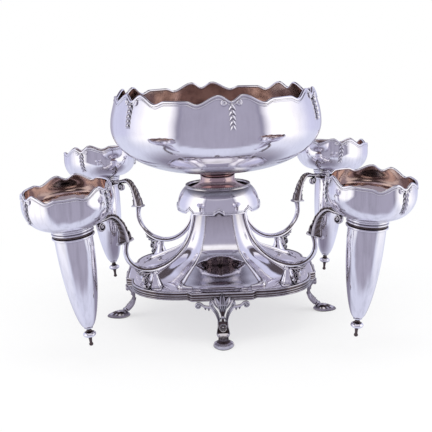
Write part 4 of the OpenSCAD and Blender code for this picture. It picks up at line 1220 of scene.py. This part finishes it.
def foot_relief():
    """The flat relief of a foot's leg: palmette, straps, scrolled wings and rosette block"""
    relief = Shape()
    bar = round_section(10)
    # A leaf with a raised edge and a hollow down its middle
    half = np.array(((1, -0.6), (1, 0.1), (0.86, 0.62), (0.62, 0.72), (0.3, 0.3), (0, 0.12)))
    blade = np.vstack((half, half[-2::-1] * (-1, 1)))
    # A bar with flattened sides
    full = np.sign(round_section(16)) * np.abs(round_section(16)) ** 0.6

    def strip(points, wide, thick, section=bar, steps=6, out=0.0, coat=0, hand=1):
        path = through_points(points, steps) * (hand, 1)
        wide, thick = (spread(len(path), np.linspace(0, 1, len(sizes)), sizes) for sizes in (wide, thick))
        relief.sweep(upright(path, out), section, wide, thick, coat=coat)

    def pair(*sizes, **more):
        for hand in HANDS:
            strip(*sizes, **more, hand=hand)

    def stem(heights, *sizes, **more):
        strip([(0, z) for z in heights], *sizes, **more)

    # Palmette: one tall pointed leaf with a rib between two pairs of bent ones
    stem((35, 41, 48, 54.9), (1.4, 2.8, 3.5, 3.2, 0.3), (1.4, 1.6, 1.5, 1.3, 0.7), blade, out=0.9)
    stem((35, 41, 47, 53), (0.5, 0.7, 0.7, 0.2), (1.6, 1.8, 1.7, 1.0), out=1.0)
    pair(((1.4, 35.5), (3.8, 41.6), (6.2, 46.6), (8.6, 51.4)),
         (0.8, 1.9, 2.7, 2.4, 0.3), (1.4, 1.7, 1.7, 1.5, 0.8), blade, out=1.0)
    pair(((2.6, 37.4), (6.4, 42.0), (9.4, 45.4), (12.0, 48.4)),
         (0.8, 1.8, 2.3, 1.9, 0.3), (1.3, 1.6, 1.5, 1.3, 0.7), blade, out=0.8)
    # Dark stem with bright edges between the straps, and its bead
    stem((18.5, 24, 30, 36, 43), (2.4, 1.3, 1.7, 3.4, 5.2), (1.6, 1.6, 1.5, 1.3, 1.0), coat=1)
    pair(((1.0, 25), (1.5, 30), (3.4, 36.4), (5.6, 42)), (0.7, 0.7, 0.8, 0.9), (1.8, 1.8, 1.7, 1.5))
    relief.ball((0, 1.5, 27.2), 2.1, (1, 0.8, 1))
    # Outer straps: from the block out to the wing and over into the palmette, round an open slot
    pair(((4.0, 18.6), (4.4, 24), (6.6, 31.5), (11.2, 39.4), (12.2, 44.4), (8.6, 46.6)),
         (1.5, 1.6, 1.9, 2.0, 1.8, 1.1), (1.7, 1.7, 1.6, 1.5, 1.3, 1.1), blade)
    pair(((4.4, 21.4), (2.4, 24.6), (0, 27.6)), (0.7, 0.8, 0.8), (1.4, 1.5, 1.6))
    # Wings with a curl at the end and small leaves that hang under them
    curl = spiral(CURL_AT, 3.1, 0.9, 90, -1.5, 36)
    wing = through_points(((12.2, 39.6), (16.4, 40.0), (20.2, 41.2), (22.8, 43.8), (25.6, 44.7)), 6)
    wing = np.vstack((wing[:-1], curl))
    for hand in HANDS:
        relief.sweep(upright(wing * (hand, 1), 0.2), bar,
                     spread(len(wing), (0, 0.25, 0.5, 1), (1.7, 1.4, 1.1, 0.8)), 1.5)
        relief.ball((hand * CURL_AT[0], 0.4, CURL_AT[1]), 1.4, (1, 1.3, 1))
    for x, long in ((14.0, 5.6), (17.6, 4.2)):
        pair(((x, WING_Z), (x + 0.7, WING_Z - long * 0.5), (x + 0.4, WING_Z - long)),
             (0.8, 1.4, 0.2), (1.1, 1.2, 0.5), blade)
    # Leg: dark block with bright edges, shoulder, waist and ankle
    stem((21.4, 18, 13, 9.2), (5.1, 5.3, 5.9, 6.7), (2.0, 2.5, 2.7, 2.7), full, coat=1)
    stem((9.4, 8.4, 7.0, 5.8, 4.2), (6.8, 6.6, 4.6, 4.4, 5.6), (2.9, 2.7, 2.4, 2.4, 2.8), full, steps=5)
    pair(((5.0, 21), (5.3, 16), (6.5, 10)), (0.7, 0.7, 0.8), (2.6, 3.0, 3.1))
    strip(((-5.4, 6.6), (0, 6.3), (5.4, 6.6)), (0.8, 0.9, 0.8), (2.9, 3.2, 2.9), steps=5)
    # Rosette on the block: a ring, a circle of dots and a boss
    ring = 3.9 * round_section(24) + (0, ROSETTE_Z)
    relief.sweep(upright(ring, 2.6), round_section(8), 0.5, 0.5, closed=True)
    for x, z in 2.6 * round_section(9) + (0, ROSETTE_Z):
        relief.ball((x, 2.8, z), 0.75, rings=4, steps=6)
    relief.ball((0, 2.9, ROSETTE_Z), 1.2)
    return relief


def pad_rows(tip):
    """The leaf pad under the leg as rings from its middle below to its middle above, ribbed on its slope"""
    b = circle(64)
    edge = np.column_stack((np.cos(b) * (tip - PAD_BACK) / 2, np.sin(b) * PAD_HALF * (1 - 0.18 * np.cos(b))))
    rib = 1 + 0.05 * np.cos(9 * b) * (np.cos(b) > -0.6)
    rows = []
    for share, z in ((0.0, 0.0), (0.93, 0.0), (1.0, 0.8), (0.98, 1.9), (0.86, 3.2), (0.66, 4.6),
                     (0.40, PAD_H), (0.0, PAD_H + 0.6)):
        ripple = rib if 0.5 < share < 0.9 else np.ones(len(b))
        middle = (PAD_BACK + tip) / 2 - 3.0 * z / PAD_H
        rows.append(np.column_stack((edge * share * ripple[:, None] + (middle, 0), np.full(len(b), z))))
    return rows


class CENTREPIECE_OT_feet(bpy.types.Operator):
    """Build the four feet: palmette, scrolled wings, rosette block and leaf pad"""
    bl_idname = "centrepiece.feet"
    bl_label = "Feet"

    def execute(self, context):
        foot = foot_relief().moved(on_leg)
        # Rolled scroll behind the palmette, under the border
        foot.sweep(upright(spiral((107.6, 42.4), 3.6, 1.0, 60, 1.2, 24)), round_section(10), 1.0, 6.0)
        # The pad's step below its top is dark
        foot.grid(pad_rows(box_mm("foot_right")[1][0]), caps=False, coats=((5, 1), (6, 0)))
        for k, side in enumerate(SIDES):
            turned = foot.moved(turn, 90 * k).mesh("foot", "silver_cast_chased", "silver_cast_tarnished")
            piece("foot_cast_" + side, turned, "stand", ["foot_" + side])
        return {"FINISHED"}


# The fixings

class CENTREPIECE_OT_fixings(bpy.types.Operator):
    """Give the hidden socket, rod, washer and nuts their finish"""
    bl_idname = "centrepiece.fixings"
    bl_label = "Fixings"

    def execute(self, context):
        for node, look in (("bowl_socket", "silver_plate_polished"), ("centre_rod", "steel_turned"),
                           ("rod_washer", "steel_turned"), ("rod_nut", "steel_turned"),
                           ("post_nuts", "steel_turned")):
            slots = frame["nodes"][node].data.materials
            for i in range(len(slots)):
                slots[i] = finish(look)
        return {"FINISHED"}


# The stage, in metres

TABLE_HALF = 14.0
# The table's shadow shows in part at the first distance and not at all past the second
SHADOW_NEAR, SHADOW_FAR = 0.1, 0.55
# The painted reflection room that the silver mirrors: reaches on its floor, heights on its wall and reaches
# on its ceiling
ROOM_R = 1.85
ROOM_H = 2.3
ROOM_FLOOR_Z = 0.003
ROOM_FLOOR = (0, 0.06, 0.1, 0.13, 0.16, 0.19, 0.22, 0.25, 0.28, 0.34, 0.42, 0.55, 0.75, 1.0, 1.3, 1.6)
ROOM_WALL = (0.02, 0.1, 0.2, 0.3, 0.4, 0.55, 0.7, 0.9, 1.1, 1.3, 1.5, 1.7, 1.85, 2.0, 2.15)
ROOM_ROOF = (1.7, 1.45, 1.2, 0.95, 0.75, 0.6, 0.5, 0.42, 0.34, 0.26, 0.18, 0)
# Direction of the middle of the front cloth, in degrees
ROOM_FRONT = -86.3
# Camera: turned, raised and rolled in degrees, and the place that it looks at
CAMERA_TURN, CAMERA_RISE, CAMERA_ROLL = -0.42, 11.05, -1.83
CAMERA_AIM = Vector((0, 0, 0.125))
LAMP_AIM = Vector((0, 0, 0.13))
# Width of the picture that the framing is measured in, in pixels
PICTURE_PX = 432


def seen_directly(tree):
    """1 for rays from the camera and for what metal and glass show, else 0"""
    path = add(tree, "ShaderNodeLightPath").outputs
    seen = add(tree, "ShaderNodeMath", {
        0: path["Is Camera Ray"], 1: path["Is Glossy Ray"]}, operation="MAXIMUM")
    return add(tree, "ShaderNodeMath", {0: seen, 1: path["Is Transmission Ray"]}, operation="MAXIMUM")


def set_world(scene, stage):
    """A white room that gives a soft light"""
    scene.world = bpy.data.worlds.new("studio")
    scene.world.use_nodes = True
    tree = scene.world.node_tree
    tree.nodes.clear()
    soft = add(tree, "ShaderNodeBackground", {"Color": (*stage.room, 1), "Strength": stage.room_light})
    white = add(tree, "ShaderNodeBackground", {"Color": (1, 1, 1, 1), "Strength": 1.0})
    both = add(tree, "ShaderNodeMixShader", {0: seen_directly(tree), 1: soft, 2: white})
    add(tree, "ShaderNodeOutputWorld", {"Surface": both})


def set_table(stage):
    """A table lacquered matt white, which keeps its shadow near the object and runs out to plain white"""
    cloth, tree = blank_material("table_lacquer_white")
    shader = tree.nodes["Principled BSDF"]
    for name, value in (("Base Color", (*stage.table, 1)), ("Roughness", 0.9), ("Specular IOR Level", 0.1)):
        shader.inputs[name].default_value = value
    place = add(tree, "ShaderNodeTexCoord")
    away = add(tree, "ShaderNodeVectorMath", {0: place.outputs["Object"]}, operation="LENGTH")
    far = add(tree, "ShaderNodeMapRange", {
        "Value": away.outputs["Value"], "From Min": SHADOW_NEAR, "From Max": SHADOW_FAR, "To Min": 0.6},
        interpolation_type="SMOOTHSTEP")
    white = add(tree, "ShaderNodeMath", {0: seen_directly(tree), 1: far}, operation="MULTIPLY")
    glow = add(tree, "ShaderNodeEmission", {"Strength": 1.0})
    both = add(tree, "ShaderNodeMixShader", {0: white, 1: shader, 2: glow})
    tree.links.new(both.outputs[0], tree.nodes["Material Output"].inputs["Surface"])
    table = bpy.data.meshes.new("table")
    corners = [(x * TABLE_HALF, y * TABLE_HALF, 0) for x, y in ((-1, -1), (1, -1), (1, 1), (-1, 1))]
    table.from_pydata(corners, [], [(0, 1, 2, 3)])
    table.materials.append(cloth)
    put("table", table)


def past(value, limit, soft):
    """1 past a limit and 0 before it, with a soft step"""
    return ease((value - limit) / soft + 0.5)[..., None]


def within(value, low, top, soft):
    """1 between two limits and 0 outside, with soft steps"""
    return past(value, low, soft) * past(-value, -top, soft)


def painted_reflection_tones(stage, out, high, turns):
    """Glow colour of the painted reflection room at each reach, height and angle from the middle of the front
    cloth
    """
    back, side, front, edge, near, under, dark = (np.array(c) for c in (
        stage.cloth_back, stage.cloth_side, stage.cloth_front, stage.cloth_edge, stage.cloth_floor,
        stage.painted_shade_under, stage.ceiling))
    white = np.full(3, stage.painted_highlight_strength)
    aside = np.abs(turns)[None]
    ahead = out * np.cos(np.radians(turns))[None]
    roof = past(high, 2.2, 0.02)
    wall = within(high, 0.01, 2.2, 0.02)
    floor = 1 - wall - roof
    # Painted reflection of pale cloth behind the softboxes
    tone = mix(back, side, within(aside, 92, 150, 14))
    # Painted reflection of the table nearby, and painted shade under the object, open in front of the
    # pedestal
    tone = mix(tone, near, floor * past(-out, -0.9, 0.6))
    tone = mix(tone, under, floor * past(-out, -0.2, 0.16) * (1 - within(ahead, 0.11, 0.3, 0.06)))
    # Painted reflection of the front cloth and its dark edges, which end on the table before the object
    tone = mix(tone, front, past(-aside, -44, 9) * (1 - floor * past(-ahead, -0.235, 0.03)))
    tone = mix(tone, edge, within(aside, 41.5, 46, 3.5) * (1 - floor * past(-ahead, -0.4, 0.2)))
    # The ceiling, a painted dark reflection
    tone = mix(tone, dark, roof)
    # A painted highlight on each side, where the softboxes show
    painted_softbox_highlight = past(aside, 50, 15) * past(-aside, -98, 40) * past(-high, -1.8, 0.4)
    tone = mix(tone, white, painted_softbox_highlight * (1 - floor * past(-out, -0.45, 0.5)))
    # A weaker painted highlight high in front, and a small one overhead
    over = wall * past(high, 1.65, 0.4) + roof * past(out, 1.15, 0.3)
    tone = mix(tone, white, 0.75 * past(-aside, -50, 16) * over)
    return mix(tone, white, roof * past(-out, -0.4, 0.2))


def hang_painted_reflections(stage):
    """The room that only the silver mirrors: a sheet that glows though it is no lamp, painted with
    reflections of grey cloth round the table and white painted highlights in the gaps
    """
    line = np.array([(r, ROOM_FLOOR_Z) for r in ROOM_FLOOR] + [(ROOM_R, z) for z in ROOM_WALL]
                    + [(r, ROOM_H) for r in ROOM_ROOF])
    out, high = line[:, :1], line[:, 1:]
    turns = np.linspace(-180, 180, 241)
    n = len(turns)
    points = around(out, np.radians(turns + ROOM_FRONT)[None], high)
    corners = np.arange(len(line) * n).reshape(len(line), n)
    faces = np.stack((corners[:-1, :-1], corners[:-1, 1:], corners[1:, 1:], corners[1:, :-1]), -1)
    mesh = bpy.data.meshes.new("cloths")
    mesh.from_pydata(points.reshape(-1, 3), [], faces.reshape(-1, 4).tolist())
    tones = np.ones((len(line), n, 4))
    tones[..., :3] = painted_reflection_tones(stage, out, high, turns)
    mesh.attributes.new("tone", "FLOAT_COLOR", "POINT").data.foreach_set("color", tones.ravel())
    # Its glow is the painted reflection; only mirror rays see it
    paint, tree = blank_material("cloth_grey_hung")
    tree.nodes.clear()
    shade = add(tree, "ShaderNodeAttribute", attribute_name="tone")
    light = add(tree, "ShaderNodeEmission", {"Color": shade.outputs["Color"], "Strength": 1.0})
    add(tree, "ShaderNodeOutputMaterial", {"Surface": light})
    mesh.materials.append(paint)
    cloths = put("cloths", mesh)
    for ray in ("camera", "diffuse", "shadow", "transmission"):
        setattr(cloths, "visible_" + ray, False)


def set_lamps(stage):
    """Two large softboxes at the sides and a small one overhead, which the silver doesn't mirror; their
    highlights are painted into the room
    """
    for name, place, wide, tall, power in (
            ("softbox_left", (-1.6, -0.45, 0.8), 1.3, 1.5, stage.lamp_light),
            ("softbox_right", (1.6, -0.45, 0.8), 1.3, 1.5, stage.lamp_light),
            ("softbox_top", (0.0, -0.3, 2.2), 0.7, 0.5, stage.top_light)):
        lamp = bpy.data.lights.new(name, "AREA")
        lamp.shape = "RECTANGLE"
        lamp.size = wide
        lamp.size_y = tall
        lamp.energy = power
        holder = put(name, lamp)
        holder.location = place
        holder.rotation_euler = (LAMP_AIM - Vector(place)).to_track_quat("-Z", "Y").to_euler()
        holder.visible_glossy = False


def set_camera(scene, stage):
    """The camera, turned, raised, rolled and framed as in the photograph"""
    az, el, roll = (math.radians(d) for d in (CAMERA_TURN, CAMERA_RISE, CAMERA_ROLL))
    back = Vector((math.sin(az) * math.cos(el), -math.cos(az) * math.cos(el), math.sin(el)))
    right = Vector((math.cos(az), math.sin(az), 0))
    up = back.cross(right)
    across = right * math.cos(roll) + up * math.sin(roll)
    raised = up * math.cos(roll) - right * math.sin(roll)
    lens = bpy.data.cameras.new("camera")
    lens.sensor_width = 36
    lens.lens = stage.lens
    lens.shift_x = -stage.frame_right / PICTURE_PX
    lens.shift_y = stage.frame_down / PICTURE_PX
    lens.clip_end = 100
    place = Matrix((across, raised, back)).transposed().to_4x4()
    place.translation = CAMERA_AIM + back * stage.distance
    scene.camera = put("camera", lens)
    scene.camera.matrix_world = place


class CENTREPIECE_OT_stage(bpy.types.Operator):
    """Set the pale table, the soft studio light and the camera"""
    bl_idname = "centrepiece.stage"
    bl_label = "Stage"

    def execute(self, context):
        scene = context.scene
        stage = scene.centrepiece_stage
        scene.view_settings.view_transform = "Standard"
        set_world(scene, stage)
        set_table(stage)
        hang_painted_reflections(stage)
        set_lamps(stage)
        set_camera(scene, stage)
        return {"FINISHED"}


# Settings

def length_prop(label, text, mm):
    """A length, given here in millimetres"""
    return FloatProperty(name=label, description=text, default=mm * MM, unit="LENGTH", precision=4)


def colour_prop(label, text, hexed):
    """A colour, given here as an sRGB hex value"""
    return FloatVectorProperty(name=label, description=text, default=linear(hexed), subtype="COLOR")


class CentrepieceSizes(bpy.types.PropertyGroup):
    """Sizes of the ornament"""
    rim_crest: length_prop("Rim crest", "How far the rims rise beside each pendant", 5.5)
    rim_valley: length_prop("Rim valley", "How far the rims dip past each crest", 3.5)
    rim_notch: length_prop("Rim notch", "How far the rims dip at each pendant", 1.0)
    rim_wire: length_prop("Rim moulding", "Radius of the bowl's rim moulding", 1.65)
    husk_length: length_prop("Husk length", "Length of one husk of a bowl pendant", 5.2)
    husk_count: IntProperty(name="Husks", description="Husks in each pendant", default=5)
    bead_radius: length_prop("Pearl radius", "Radius of a pearl on the collar", 1.05)
    bead_count: IntProperty(name="Pearls", description="Pearls round the collar's mouth", default=100)
    arch_height: length_prop("Arch height", "Height of the pointed arches on the collar's edge", 5.0)
    ridge_radius: length_prop("Panel ridge", "Radius of the raised edge of a pedestal panel", 0.9)
    reed_radius: length_prop("Border reed", "Radius of a reed of the plateau's border", 0.95)


class CentrepieceFinish(bpy.types.PropertyGroup):
    """Colours and polish of the metals"""
    silver: colour_prop("Silver", "Colour of the polished plate", "F9F6FC")
    # Brown for the pedestal's hollows, also painted below the collar as shade and a brown reflection
    brown_stain_and_painted_shade: colour_prop("Blush", "Brown of plate worn thin below the collar", "5E463C")
    # The stain in hollows, also painted as shade under the bowl and round the collar's mouth
    tarnish_and_painted_shade: colour_prop("Tarnish", "Colour of the stain in hollows", "2E292B")
    gilt: colour_prop("Gilt", "Colour of the worn lining", "E6D6D0")
    gilt_shade: colour_prop("Gilt shade", "Colour of the lining where it is deep", "A68880")
    neck: colour_prop("Neck", "Colour of the rubbed plate on the bowl's neck", "D0B6B6")
    cast: colour_prop("Cast silver", "Colour of the cast and chased mounts", "DAD4D9")
    ground: colour_prop("Ground", "Colour of cast silver that is never wiped", "6A5C5A")
    unpolished: colour_prop("Unpolished", "Colour of silver where no cloth reaches", "968C8A")
    well: colour_prop("Well", "Colour at the bottom of the collar's well", "5E3830")
    steel: colour_prop("Steel", "Colour of the rod and nuts", "B4B6B8")
    polish: FloatProperty(name="Polish", description="Roughness of the polished plate", default=0.06, min=0,
                          max=1, subtype="FACTOR")


class CentrepieceStage(bpy.types.PropertyGroup):
    """Table, light and camera"""
    table: colour_prop("Table", "Colour of the table", "FAFAFA")
    room: colour_prop("Room", "Colour of the soft room light", "FFFFFF")
    room_light: FloatProperty(name="Room light", description="Strength of the soft room light", default=0.92,
                              min=0)
    # Glow colours of the painted reflection room, which only the silver mirrors
    cloth_front: colour_prop("Front cloth", "Grey that the silver mirrors on the camera's side", "A9A6B8")
    cloth_back: colour_prop("Back cloth", "Grey that the silver mirrors at the back", "B4B1C4")
    cloth_floor: colour_prop("Floor cloth", "Pale blue that the silver mirrors on the table", "DCE0F2")
    # Painted shade under the object, as the silver mirrors it
    painted_shade_under: colour_prop("Under cloth", "Grey that the silver mirrors under the object", "807A8E")
    cloth_edge: colour_prop("Cloth edges", "Dark edges of the front cloth beside the lamps", "9390A4")
    cloth_side: colour_prop("Side cloths", "Pale blue that the silver mirrors behind the softboxes", "D4D6EE")
    # Strength of the painted highlights that stand in for the softboxes' reflections
    painted_highlight_strength: FloatProperty(name="Openings", description="Strength of the white between the cloths",
                                 default=1.2, min=0)
    # Painted dark reflection of a ceiling
    ceiling: colour_prop("Ceiling", "Dark of the room's ceiling", "544C52")
    lamp_light: FloatProperty(name="Side lamps", description="Power of each side lamp", default=8, min=0,
                              unit="POWER")
    top_light: FloatProperty(name="Top lamp", description="Power of the top lamp", default=3, min=0,
                             unit="POWER")
    lens: FloatProperty(name="Lens", description="Focal length on a 36 mm sensor", default=80.8,
                        unit="CAMERA")
    distance: FloatProperty(name="Distance", description="Camera to the object's middle", default=1.1267,
                            unit="LENGTH")
    frame_right: FloatProperty(name="Framing right", default=2.6,
                               description="How far the picture sits to the right, in pixels")
    frame_down: FloatProperty(name="Framing down", default=-6.87,
                              description="How far the picture sits down, in pixels")


class CENTREPIECE_PT_panel(bpy.types.Panel):
    """Lists the pieces in the order they are built"""
    bl_idname = "CENTREPIECE_PT_panel"
    bl_label = "Centrepiece"
    bl_space_type = "VIEW_3D"
    bl_region_type = "UI"
    bl_category = "Centrepiece"

    def draw(self, context):
        for operator in OPERATORS:
            self.layout.operator(operator.bl_idname)
        for group in GROUPS:
            settings = getattr(context.scene, group)
            for name in settings.__annotations__:
                self.layout.prop(settings, name)


OPERATORS = (CENTREPIECE_OT_stage, CENTREPIECE_OT_bowl, CENTREPIECE_OT_vases, CENTREPIECE_OT_collar,
             CENTREPIECE_OT_pedestal, CENTREPIECE_OT_plateau, CENTREPIECE_OT_posts, CENTREPIECE_OT_arms,
             CENTREPIECE_OT_feet, CENTREPIECE_OT_fixings)
GROUPS = {"centrepiece_sizes": CentrepieceSizes, "centrepiece_finish": CentrepieceFinish,
          "centrepiece_stage": CentrepieceStage}
CLASSES = (*GROUPS.values(), *OPERATORS, CENTREPIECE_PT_panel)


def register():
    for cls in CLASSES:
        bpy.utils.register_class(cls)
    for name, group in GROUPS.items():
        setattr(bpy.types.Scene, name, PointerProperty(type=group))


def unregister():
    for name in GROUPS:
        delattr(bpy.types.Scene, name)
    for cls in reversed(CLASSES):
        bpy.utils.unregister_class(cls)


def main():
    register()
    for operator in OPERATORS:
        group, name = operator.bl_idname.split(".")
        getattr(getattr(bpy.ops, group), name)()


if __name__ == "__main__":
    main()
